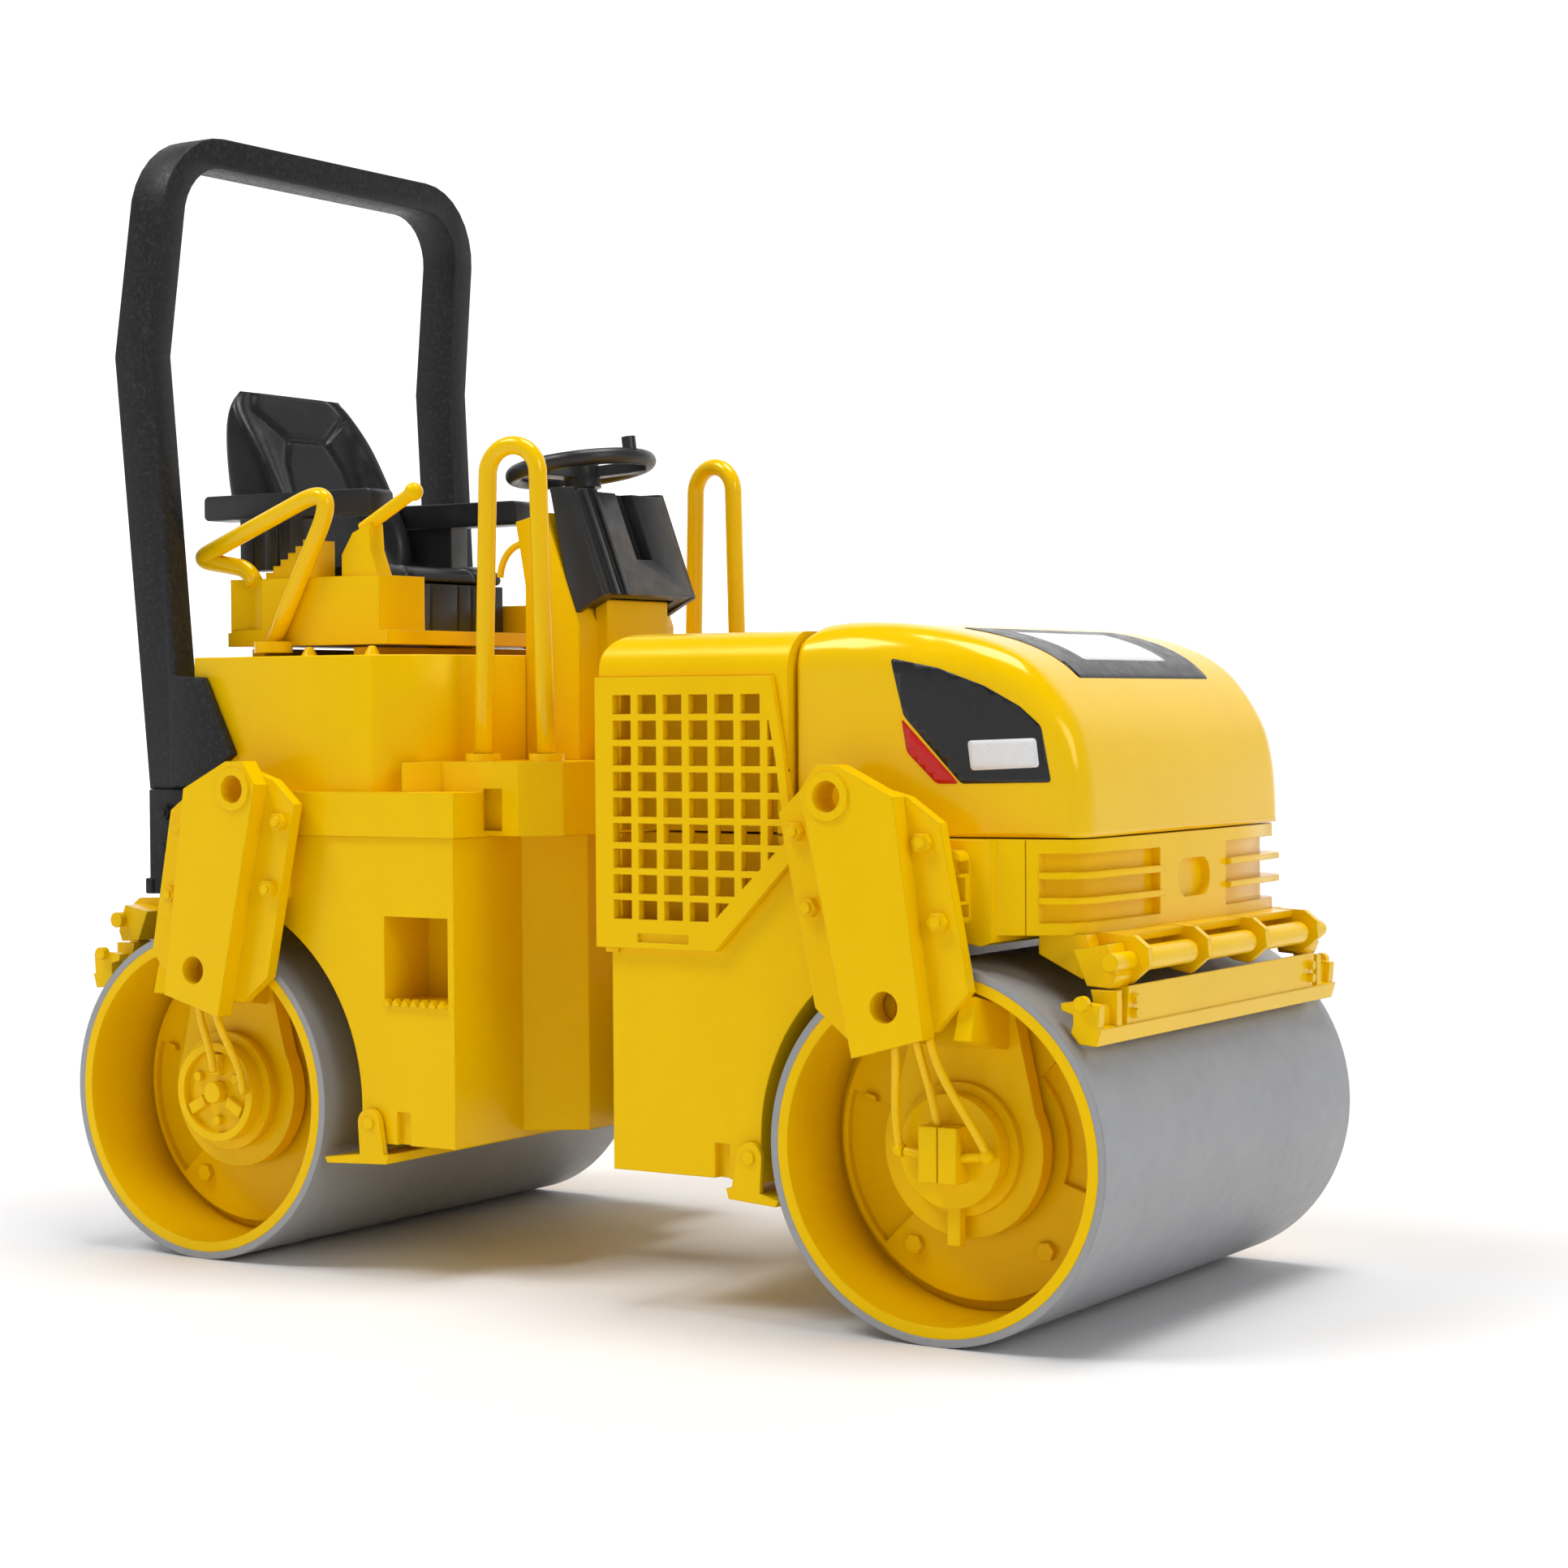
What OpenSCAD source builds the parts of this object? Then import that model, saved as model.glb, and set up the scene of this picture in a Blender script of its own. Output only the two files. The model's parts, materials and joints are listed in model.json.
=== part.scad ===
// Toy tandem road roller, 1:16, articulated in the middle.
// Frame: +X forward (engine end), +Y to the machine's left, +Z up.
// The origin is on the ground under the articulation pin, midway between the drums.

/* [Drums] */
// Outer diameter of each drum
drum_d = 46; // [44:0.5:48]
// Width of each drum
drum_w = 74; // [72:0.5:76]
// Distance between the two drum axles
wheelbase = 118; // [116:0.5:120]
// Depth of the recess in each end of a drum
recess_depth = 11; // [10:0.5:12]

/* [Bodywork] */
// Overall width of the two chassis boxes
chassis_w = 70; // [68:0.5:71]
// Height of the chassis underside above the ground
belly_z = 18; // [17:0.5:20]
// Height of the operator deck above the ground
deck_z = 84.2; // [83:0.2:85]
// Height of the bonnet crest above the ground
bonnet_z = 87.2; // [86.6:0.2:88]
// Wall thickness of the moulded shells
wall = 1.6; // [1.2:0.1:2]

/* [Roll-over frame] */
// Overall height of the roll-over frame above the ground
rops_z = 158.8; // [157:0.2:161]
// Half width of the roll-over frame at its widest, outside
rops_half_w = 35.8; // [35.4:0.1:36.4]

/* [Controls] */
// Outer diameter of the steering wheel
steering_wheel_d = 21.6; // [20:0.2:22]
// Backward lean of the steering column, in degrees
column_lean = 8; // [7:1:10]
// Tube diameter of the hand rails
rail_d = 2.5; // [2.2:0.1:2.7]

/* [Fits] */
// Radial running clearance of a shaft in its hole
run_gap = 0.06; // [0.04:0.01:0.1]
// Gap between parts that pass each other
pass_gap = 0.3; // [0.2:0.05:0.4]

/* [Hidden] */
$fn = 64;
yellow = [0.98, 0.76, 0.03];
black = [0.09, 0.09, 0.10];
grey = [0.66, 0.67, 0.69];

drum_r = drum_d / 2;
axle_x = wheelbase / 2;
axle_z = drum_r;
half_drum = drum_w / 2;
half_w = chassis_w / 2;
rear_half_w = half_w + 0.4;
sleeve_t = 1;
core_r = drum_r - sleeve_t;
barrel_r = core_r - 1.4;
disc_r = 19.2;
disc_y = half_drum - recess_depth;
hub_r = 5.5;
axle_r = 2.5;
front_arch_r = drum_r + 2.7;
rear_arch_r = drum_r + 5.3;
bracket_y = 42;
flange_y = 39.3;
bracket_in_y = half_drum + 0.6;
arm_face_y = 29.6;
arm_back_y = disc_y + 1.2;
arm_r = 11;
seam_z = 46;
cowl_z = 86.2;
wheel_c = [-19.1, 0, 110.8];
pin_r = 2.5;
shaft_r = 1.7;

// ---------- helpers ----------

// A flat outline in the XZ plane, made solid from y0 to y1
module across(y0, y1) {
    translate([0, y1, 0]) rotate([90, 0, 0]) linear_extrude(y1 - y0) children();
}

// A flat outline in the YZ plane, made solid from x0 to x1
module along(x0, x1) {
    translate([x0, 0, 0]) rotate([90, 0, 90]) linear_extrude(x1 - x0) children();
}

// A block given by its lowest and highest corners
module block(a, b) {
    translate(a) cube(b - a);
}

// A flat rectangle given by its lowest and highest corners
module rect(a, b) {
    translate(a) square(b - a);
}

// A rectangle from corner a to corner b with round corners of radius r
module round_rect(a, b, r) {
    translate(a + [r, 0]) square([b.x - a.x - 2 * r, b.y - a.y]);
    translate(a + [0, r]) square([b.x - a.x, b.y - a.y - 2 * r]);
    for (x = [a.x + r, b.x - r], y = [a.y + r, b.y - r]) translate([x, y]) circle(r);
}

// A round bar between two points
module bar(p, q, r) {
    v = q - p;
    translate(p) rotate([0, acos(v.z / norm(v)), atan2(v.y, v.x)]) cylinder(h = norm(v), r = r);
}

// A cylinder along Y, from y0 to y1, about the point (x, z)
module rod_y(x, z, r, y0, y1) {
    translate([x, y1, z]) rotate([90, 0, 0]) cylinder(h = y1 - y0, r = r);
}

// A hexagon bolt head whose axis is Y, standing out towards negative Y
module bolt_y(x, z, y, across_flats = 2.6, h = 1) {
    translate([x, y, z]) rotate([90, 0, 0]) cylinder(h = h, d = across_flats, $fn = 6);
    translate([x, y, z]) rotate([90, 0, 0]) cylinder(h = h + 0.35, d = across_flats * 0.55, $fn = 24);
}

module both_sides() {
    children();
    mirror([0, 1, 0]) children();
}

module to_rear() {
    mirror([1, 0, 0]) children();
}

// A tube of radius r swept along points p, with n flat sides
module swept_tube(p, r, n = 8) {
    last = len(p) - 1;
    dir = [for (i = [0:last]) let(d = p[min(i + 1, last)] - p[max(i - 1, 0)]) d / norm(d)];
    side = [for (d = dir) let(s = cross(d, [0, 1, 0.02])) s / norm(s)];
    pts = [for (i = [0:last], k = [0:n - 1])
        p[i] + r * (side[i] * cos(360 * k / n) + cross(dir[i], side[i]) * sin(360 * k / n))];
    walls = [for (i = [0:last - 1], k = [0:n - 1])
        [i * n + k, i * n + (k + 1) % n, (i + 1) * n + (k + 1) % n, (i + 1) * n + k]];
    polyhedron(pts, concat([[for (k = [n - 1:-1:0]) k]], walls, [[for (k = [0:n - 1]) last * n + k]]));
}

function bezier(a, b, c, d, steps) = [for (i = [0:steps]) let(t = i / steps, s = 1 - t)
    s * s * s * a + 3 * s * s * t * b + 3 * s * t * t * c + t * t * t * d];

// ---------- drums ----------

module drum_sleeve(x) {
    color(grey) translate([x, half_drum, axle_z]) rotate([90, 0, 0]) difference() {
        cylinder(h = drum_w, r = drum_r, $fn = 128);
        translate([0, 0, -1]) cylinder(h = drum_w + 2, r = core_r, $fn = 128);
    }
}

// Barrel with a rolled lip, two recessed end discs and a bearing tube
module drum_core(x) {
    disc_face = disc_y;
    color(yellow) translate([x, 0, axle_z]) rotate([90, 0, 0]) {
        difference() {
            union() {
                rotate_extrude($fn = 128) polygon([
                    [barrel_r, -half_drum], [core_r, -half_drum], [core_r, half_drum], [barrel_r, half_drum]
                ]);
                for (side = [-1, 1]) {
                    translate([0, 0, side * (disc_face - 1)]) cylinder(h = 2, r = disc_r, center = true);
                    translate([0, 0, side * (disc_face - 3)]) cylinder(h = 2.2, r = barrel_r + 0.1, center = true);
                    for (a = [92:72:308]) rotate(a) translate([15.6, 0, side * (disc_face + 0.4)])
                        cylinder(h = 0.9, d = 2.6, center = true, $fn = 6);
                }
                cylinder(h = 2 * disc_face, r = hub_r, center = true);
            }
            cylinder(h = drum_w, r = axle_r + run_gap, center = true);
            for (side = [-1, 1]) translate([0, 0, side * disc_face]) {
                for (turn = [0, 180]) rotate(turn - 18) translate([0, 0, -0.9])
                    rotate_extrude(angle = 63) translate([12.5, 0]) square([6, 1.8]);
            }
        }
    }
}

module axle(x) {
    color(grey) rod_y(x, axle_z, axle_r, -arm_face_y, arm_face_y);
}

// ---------- drum supports, drawn for the front right corner ----------

module bracket_outline() {
    polygon([[43.6, 66.6], [45.8, 69.8], [48.8, 69.8], [56.6, 66], [60.6, 37.4], [50.7, 34.7]]);
}

module flange_outline() {
    polygon([[38.9, 63.9], [42.6, 67.2], [47, 68.6], [57, 66], [61.5, 62.9], [65.3, 43],
        [60.6, 38], [48.6, 36.6], [44, 40.2]]);
}

// Channel-shaped support: a raised box section on a flanged plate
module bracket() {
    color(yellow) difference() {
        union() {
            across(-bracket_y, -flange_y + 0.1) bracket_outline();
            across(-flange_y, -bracket_in_y) flange_outline();
            rod_y(47.5, 66, 3, -bracket_y - 0.3, -bracket_y + 0.5);
        }
        rod_y(47.5, 66, 1.9, -bracket_y - 1, -bracket_in_y + 1);
        rod_y(55.2, 41, 1.9, -bracket_y - 1, -bracket_in_y + 1);
        across(-flange_y + 0.4, -bracket_in_y + 1)
            polygon([[50.6, 44], [57, 44], [58, 33], [51.6, 33]]);
    }
}

module bracket_bolts() {
    color(yellow) both_sides() {
        for (p = [[41.4, 61.6], [43.4, 52.4], [59.3, 60.6], [61.4, 51.2]])
            bolt_y(p.x, p.y, -flange_y);
    }
}

// Arm that reaches from the support into the drum recess and carries the axle
module arm() {
    color(yellow) difference() {
        union() {
            across(-arm_face_y, -arm_back_y) {
                translate([axle_x, axle_z]) circle(arm_r);
                polygon([[axle_x - arm_r, axle_z], [52.4, 39.4], [66, 40.4], [axle_x + arm_r, axle_z]]);
            }
            along(52.6, 65.4) polygon([[-flange_y + 0.3, 37.2], [-bracket_in_y, 42.4], [-arm_back_y, 40],
                [-arm_back_y, 36.2], [-arm_face_y - 0.6, 35.4]]);
            rod_y(axle_x, axle_z, 8.2, -arm_face_y - 1, -arm_back_y);
        }
        rod_y(axle_x, axle_z, axle_r, -arm_face_y, -arm_back_y + 1);
        across(-flange_y - 1, -arm_face_y - 1.6)
            polygon([[54.4, 44], [63.4, 44], [62.6, 30], [55.2, 30]]);
    }
}

// Hydraulic motor cap with its valve block and the two side fittings
module motor() {
    color(yellow) {
        rod_y(axle_x, axle_z, 7, -33, -arm_face_y - 1);
        block([axle_x - 2.6, -36, axle_z - 3.5], [axle_x - 0.1, -33, axle_z + 3.3]);
        block([axle_x + 0.1, -36, axle_z - 3.5], [axle_x + 2.6, -33, axle_z + 3.3]);
        block([axle_x - 2.6, -35.4, axle_z - 3.3], [axle_x + 2.6, -33, axle_z + 3.1]);
        for (s = [-1, 1]) {
            bar([axle_x + s * 2.6, -34.6, axle_z - 0.4], [axle_x + s * 6, -34.6, axle_z], 0.6);
            translate([axle_x + s * 6, -34.6, axle_z]) sphere(0.95, $fn = 24);
        }
        block([axle_x - 0.9, -32, axle_z - arm_r - 0.6], [axle_x + 0.9, -arm_face_y - 1, axle_z - 6.6]);
    }
}

hose_routes = [
    bezier([54.6, -38.4, 37.5], [55, -38.4, 32], [52.4, -35.4, 29], [53, -34.6, 23.2], 9),
    bezier([57.4, -38.4, 37.5], [58.4, -38, 33], [58, -35.6, 31], [58.4, -34.7, 26], 9),
    bezier([59.4, -38.4, 37.5], [60.4, -38.2, 32], [63.4, -36, 28], [65, -34.6, 23.2], 9)
];

module hoses(first, last) {
    color(yellow) for (i = [first:last]) swept_tube(hose_routes[i], 0.55);
}

// Hub cover with a rim and relief, used where no motor is fitted
module hub_cover() {
    color(yellow) {
        rod_y(axle_x, axle_z, 8.4, -31.6, -arm_face_y - 1);
        translate([axle_x, -31.6, axle_z]) rotate([90, 0, 0]) {
            difference() {
                cylinder(h = 2.2, r = 7);
                translate([0, 0, 1.2]) cylinder(h = 2, r = 5.8);
            }
            cylinder(h = 2.8, r = 1.5);
            for (a = [90:120:330]) rotate(a) translate([2.4, -0.8, 0]) cube([3, 1.6, 2.2]);
            for (a = [30:120:270]) rotate(a) translate([4, 0, 0]) cylinder(h = 2, r = 0.7, $fn = 24);
        }
    }
}

// ---------- outer scraper and spray bar, drawn for the front ----------

module scraper_plate_outline() {
    polygon([[70, 49.8], [80.4, 49.4], [82.2, 48], [82.4, 45.8], [79.8, 43.6], [77.6, 44], [70, 47.6]]);
}

module scraper_frame() {
    color(yellow) {
        for (y = [-26.2, -9.4, 8.2, 25]) across(y, y + 1.2) scraper_plate_outline();
        across(-26, 26) polygon([[70, 49.8], [79, 49.4], [78.6, 48.4], [70, 48.4]]);
        both_sides() {
            across(-30.6, -26) polygon([[74.6, 47.8], [79, 48.6], [80.2, 44.8], [79.6, 43.4], [76.4, 43.6]]);
            rod_y(79.8, 46.5, 1.1, -31.6, -26);
        }
    }
}

// The front frame is cut back to the face of the bumper that it stands on
module front_scraper_frame() {
    difference() {
        scraper_frame();
        nose_body();
        bumper_wedge();
        block([66, -29, 45], [75, 29, 50]);
    }
}

module spray_bar() {
    color(yellow) {
        for (y = [[-24.8, -9.7], [-7.9, 7.9], [9.7, 24.8]]) {
            rod_y(80.2, 46.5, 1.5, y[0] + 1.5, y[1] - 1.5);
            for (e = [y[0] + 1.5, y[1] - 1.5]) translate([80.2, e, 46.5]) sphere(1.5, $fn = 32);
        }
        rod_y(80.2, 46.5, 0.55, -24.9, 24.9);
    }
}

// Scraper blade held in front of the drum, with its hooked end plates
module outer_scraper() {
    color(yellow) {
        across(-28, 28) polygon([[78.6, 43.2], [80.6, 43.6], [80.3, 38.9], [78.7, 38.6]]);
        across(-35.4, 35.4) polygon([[78.7, 39.4], [80.6, 39], [80, 37], [78.6, 37.2]]);
        both_sides() {
            across(-35.4, -33.8) polygon([[77.2, 42.2], [75.4, 41.9], [75.5, 41.1], [77, 40.6], [77, 39.4],
                [76.7, 38.5], [77.8, 37.2], [80, 37], [80.4, 41.8]]);
            across(-30.8, -29.4) polygon([[77, 43.2], [80.4, 43.2], [80.4, 38.6], [78, 38.4]]);
            across(-33.8, -28) polygon([[78.7, 41.6], [79.6, 41.6], [79.4, 38], [78.6, 38]]);
            for (z = [40.3, 42]) bar([80.2, -26.6, z], [81.2, -26.6, z], 0.6);
            rod_y(78.4, 42, 0.9, -36.4, -35.3);
        }
    }
}

// ---------- inner scraper, hinged at the lower corner of a skirt ----------

module inner_scraper(px, pz, side, reach) {
    color(yellow) {
        both_sides() {
            across(-side - 1.1, -side - 0.25) {
                translate([px, pz]) circle(1.9);
                polygon([[px - 1.9, pz], [px - 2.6, pz - 4.4], [px - 1.2, pz - 5.2], [px + 1.6, pz - 4.8],
                    [px + 1.9, pz]]);
            }
            rod_y(px, pz, 0.9, -side - 1.4, -side - 1);
            rod_y(px, pz, 0.9, -side - 0.4, -side + 1.4);
        }
        across(-side - 1.1, side + 1.1) polygon([[px - 3.4, pz - 4.1], [px + 1.2, pz - 4.3],
            [px + reach, pz - 5.1], [px + reach - 0.4, pz - 5.9], [px - 3, pz - 5.4]]);
    }
}

// ---------- front half ----------

front_pin = [32.1, 20.7];
nose_x = 69.1;

pocket_depth = 3.6;

// Side outline of the front chassis, drawn inset by t
module front_side(t) {
    difference() {
        polygon([[10.8 + t, belly_z - 0.4 + t], [40 - t, belly_z - 0.4 + t], [40 - t, 40], [66, 48.6 + t],
            [66, 60.8 - t], [10.8 + t, 60.8 - t]]);
        translate([axle_x, axle_z]) circle(front_arch_r + t, $fn = 128);
    }
}

module front_chassis() {
    color(yellow) difference() {
        union() {
            across(-half_w, half_w) front_side(0);
            translate([0, 0, 49.4]) linear_extrude(11.4)
                polygon([[65.9, -33.8], [nose_x, -32.3], [nose_x, 32.3], [65.9, 33.8]]);
            both_sides() {
                across(-bracket_in_y + 0.1, -half_w + 0.1) round_rect([43, 50.6], [63.2, 59.6], 1.2);
            }
            block([10, -half_w - 0.4, seam_z - 0.5], [12, half_w + 0.4, seam_z + 0.2]);
        }
        difference() {
            across(-half_w + wall, half_w - wall) front_side(wall);
            both_sides() across(-half_w, -half_w + pocket_depth + wall)
                polygon([[10, 48], [27.2, 48], [38.2, 58.8], [38.2, 62], [10, 62]]);
        }
        translate([22, 0, belly_z - 2]) cylinder(h = 5, r = 3);
        both_sides() {
            across(-half_w - 1, -half_w + pocket_depth)
                polygon([[12.4, 49.6], [26.6, 49.6], [36, 58.9], [36, 62], [12.4, 62]]);
            rod_y(front_pin.x, front_pin.y, 0.9 + run_gap, -half_w - 1, -half_w + 1.5);
            block([26.4, -half_w - 1, belly_z - 2], [28.6, -half_w + 1, 22]);
            for (z = [52.4, 57.6]) rod_y(62.6, z, 0.9, -bracket_in_y - 1, -half_w - 0.4);
            block([61.4, -bracket_in_y - 1, 53.6], [64, -half_w - 1.2, 56.4]);
        }
    }
}

// Fixed rear part of the hood with a shallow pocket behind each grille
module engine_cowl() {
    color(yellow) difference() {
        union() {
            intersection() {
                along(9.4, 38) round_rect([-35.6, seam_z - 6], [35.6, cowl_z], 5);
                across(-40, 40) {
                    translate([9.4, 61.1]) square([28.6, 14.9]);
                    round_rect([9.4, 61.1], [48, cowl_z], 3.6);
                }
            }
            hinge_ears();
        }
        both_sides() {
            across(-37, -grille_y) grille_outline();
            block([12.4, -36, 61], [36, -half_w + pocket_depth, 79.4]);
            rod_y(bonnet_hinge.x, bonnet_hinge.y, hinge_pin_r, -26, -20.4);
        }
        along(20, 39) round_rect([-30, 63], [30, 82], 4);
    }
}

grille_y = half_w + 0.05;
cell_pitch = [3.9, 3.26];
cell = [2.8, 2.4];

module grille_outline() {
    polygon([[9.2, 46.2], [27.4, 46.2], [39.3, 58.4], [37.6, 72], [36, 80.7], [9.2, 80.7]]);
}

// Door panel with a square lattice and a finger slot under it
module grille() {
    color(yellow) difference() {
        across(-36.3, -grille_y) grille_outline();
        intersection() {
            across(-37, -30) polygon([[11.3, 49.4], [26.6, 49.4], [37.9, 60.2], [36.6, 70], [34.9, 78.6],
                [11.3, 78.6]]);
            union() for (i = [0:6], k = [0:8])
                translate([12 + i * cell_pitch.x, -37, 49.9 + k * cell_pitch.y]) cube([cell.x, 7, cell.y]);
        }
        block([15.6, -37, 47], [23.4, -35.8, 48.1]);
    }
}

// Louvred nose under the bonnet, with the bumper wedge below it
module nose_plan(t) {
    polygon([[nose_x + 0.1, t - 32.3], [73.8 - t, t - 29.4], [75.2 - t, t - 26.6], [76 - t, -14], [76.2 - t, 0],
        [76 - t, 14], [75.2 - t, 26.6 - t], [73.8 - t, 29.4 - t], [nose_x + 0.1, 32.3 - t]]);
}

module nose_body() {
    translate([0, 0, 49.4]) linear_extrude(11.4) nose_plan(0);
}

module bumper_wedge() {
    across(-29, 29)
        polygon([[nose_x + 0.1, 49.5], [75.4, 49.5], [77.2, 44.6], [75, 44.2], [nose_x + 0.1, 47]]);
}

module nose_panel() {
    color(yellow) difference() {
        union() {
            nose_body();
            bumper_wedge();
            for (y = [[-31.6, -9.8], [9.8, 31.6]], z = [53.1, 56.1]) intersection() {
                translate([0, 0, z]) linear_extrude(0.8) nose_plan(-0.7);
                block([70.5, y[0], 50], [78, y[1], 60]);
            }
        }
        for (y = [[-33, -9.8], [9.8, 33]], z = [50.9, 53.9, 56.9]) difference() {
            block([70.5, y[0], z], [78, y[1], z + 2.2]);
            translate([0, 0, 50]) linear_extrude(10) nose_plan(1.2);
        }
        along(75, 78) round_rect([-4.6, 52.6], [4.6, 57.4], 2.2);
    }
}

module engine_block() {
    color(yellow) {
        block([44, -16, 60.9], [66, 16, 69]);
        for (i = [0:3]) block([45.4 + i * 5, -12, 68.9], [48.8 + i * 5, 12, 74.5]);
        block([48, -19, 61], [60, 19, 65]);
        bar([67.4, -9, 66], [66, -9, 66], 5);
        bar([68, 0, 66], [66, 0, 66], 3);
    }
}

bonnet_hinge = [39.2, 85.6];
hinge_pin_r = 0.5;
bonnet_x = 38.7;

// Plan outline of the bonnet inset by t, open to the rear where it is inset
module bonnet_plan(t) {
    polygon([[bonnet_x - t, -34.4 + t], [50, -34 + t], [74 - t, -29.4 + t], [76 - t, -27], [76.6 - t, 0],
        [76 - t, 27], [74 - t, 29.4 - t], [50, 34 - t], [bonnet_x - t, 34.4 - t]]);
}

// Side outline of the bonnet inset by t: a long crown that turns down over the nose
module bonnet_side(t) {
    intersection() {
        translate([45, bonnet_z - 60]) circle(60 - t, $fn = 200);
        union() {
            intersection() {
                polygon([[bonnet_x - t, 61 - t], [76.4 - t, 61.2 - t], [76.4 - t, 88], [bonnet_x - t, 88]]);
                translate([50, 62]) circle(26.6 - t, $fn = 128);
            }
            polygon([[bonnet_x - t, 61 - t], [60, 61 - t], [60, 88], [bonnet_x + 0.6 - t, 88],
                [bonnet_x + 0.6 - t, 86.8], [bonnet_x - t, 86.2]]);
        }
    }
}

// Thin shell hinged at its rear upper edge, with two pairs of hinge bosses
module bonnet() {
    color(yellow) difference() {
        union() {
            difference() {
                intersection() {
                    across(-36, 36) bonnet_side(0);
                    translate([0, 0, 60]) linear_extrude(30) bonnet_plan(0);
                    along(38, 77) round_rect([-34.4, 50], [34.4, bonnet_z + 0.2], 6);
                }
                intersection() {
                    across(-36, 36) bonnet_side(wall);
                    translate([0, 0, 59]) linear_extrude(30) bonnet_plan(wall);
                    along(37, 77) round_rect([-32.8, 50], [32.8, bonnet_z - 1.4], 5);
                }
            }
            both_sides() for (y = [-26.8, -22.1]) rod_y(bonnet_hinge.x, bonnet_hinge.y, 1.1, y, y + 2.5);
        }
        both_sides() {
            block([37, -24.3, 84], [40.6, -22.1, 88]);
            rod_y(bonnet_hinge.x, bonnet_hinge.y, hinge_pin_r + run_gap, -26, -20.4);
        }
    }
}

// Ear of the bonnet hinge, one on each side, part of the cowl
module hinge_ears() {
    both_sides() across(-24, -22.4) {
        translate(bonnet_hinge) circle(1.1);
        translate([37.5, bonnet_hinge.y - 1.1]) square([bonnet_hinge.x - 37.5, 2.2]);
    }
}

module bonnet_pins() {
    color(grey) both_sides() rod_y(bonnet_hinge.x, bonnet_hinge.y, hinge_pin_r, -25.9, -20.5);
}

// ---------- articulation joint ----------

// Base plate of the rear fork, let into the front of the rear chassis
module fork_plate() {
    block([-9, -9, 19.6], [-7.4, 9, 40]);
}

// Forked lugs on the rear half
module rear_yoke() {
    color(black) difference() {
        union() {
            fork_plate();
            for (z = [[20.4, 24], [34, 37.6]]) translate([0, 0, z[0]]) linear_extrude(z[1] - z[0]) {
                circle(6);
                translate([-7.6, -6]) square([7.6, 12]);
            }
        }
        translate([0, 0, 10]) cylinder(h = 40, r = pin_r);
    }
}

module front_yoke() {
    color(black) difference() {
        union() {
            block([9.2, -9, 19.6], [10.8, 9, 40]);
            translate([0, 0, 24.3]) linear_extrude(9.4) {
                circle(6);
                translate([0, -6]) square([9.4, 12]);
            }
        }
        translate([0, 0, 10]) cylinder(h = 40, r = pin_r + run_gap);
    }
}

module articulation_pin() {
    color(grey) {
        translate([0, 0, 19.4]) cylinder(h = 19.2, r = pin_r);
        for (z = [19, 37.6]) translate([0, 0, z]) cylinder(h = 1.4, r = 4);
    }
}

// ---------- rear half ----------

rear_pin = [-28.7, 21];

// Corner notch in which each foot of the roll-over frame stands
foot_x = -61.6;
foot_y = -29.4;

// Side outline of the rear chassis, drawn inset by t
module rear_side(t) {
    difference() {
        polygon([[-14.7 - t, belly_z + 0.2 + t], [-40 + t, belly_z + 0.2 + t], [-40 + t, 40], [-66 + t, 48],
            [-66 + t, 59.6 - t], [-14.7 - t, 59.6 - t]]);
        translate([-axle_x, axle_z]) circle(rear_arch_r + t, $fn = 128);
    }
}

module rear_nose() {
    polygon([[-16, -20.5], [-14.7, -20.5], [-7.5, -15], [-7.5, 15], [-14.7, 20.5], [-16, 20.5]]);
}

module rear_chassis() {
    color(yellow) {
        difference() {
            union() {
                across(-rear_half_w, rear_half_w) rear_side(0);
                translate([0, 0, belly_z + 1]) linear_extrude(40.6) rear_nose();
                both_sides() across(-bracket_in_y + 0.1, -rear_half_w + 0.1) round_rect([-61.6, 50.6], [-43, 59], 1.2);
                across(-28.8, 28.8) difference() {
                    polygon([[-71, 49.8], [-71, 56], [-64, 56], [-64, 49.8]]);
                    translate([-axle_x, axle_z]) circle(rear_arch_r, $fn = 128);
                }
            }
            difference() {
                across(-rear_half_w + wall, rear_half_w - wall) rear_side(wall);
                both_sides() {
                    block([-28.4, -rear_half_w, 35.6], [-14, -24.4, 50.6]);
                    block([-70, -rear_half_w, 45], [foot_x + wall, foot_y + wall, 62]);
                }
            }
            translate([-23, 0, belly_z - 2]) cylinder(h = 5, r = 3);
            fork_plate();
            both_sides() {
                block([-67, -rear_half_w - 1, 45], [foot_x, foot_y, 62]);
                rod_y(rear_pin.x, rear_pin.y, 0.9 + run_gap, -rear_half_w - 1, -rear_half_w + 1.5);
                block([-24.6, -rear_half_w - 2, belly_z - 2], [-22.4, -rear_half_w + 0.8, 22.6]);
                block([-26.6, -rear_half_w - 2, 37.5], [-15.8, -26, 48.9]);
            }
        }
        both_sides() for (i = [0:6]) across(-rear_half_w - 0.6, -rear_half_w + 0.4)
            polygon([[i * 1.55 - 26.6, 36.9], [i * 1.55 - 25.2, 36.9], [i * 1.55 - 25.9, 38]]);
    }
}

// Plan outline of the tank, drawn inset by t
module tank_plan(t) {
    polygon([[-62.2 + t, -33.6 + t], [-30, -33.6 + t], [-24.4 - t, -29 + t], [-20.5 - t, -11.6], [-20.5 - t, 11.6],
        [-24.4 - t, 29 - t], [-30, 33.6 - t], [-62.2 + t, 33.6 - t]]);
}

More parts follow.
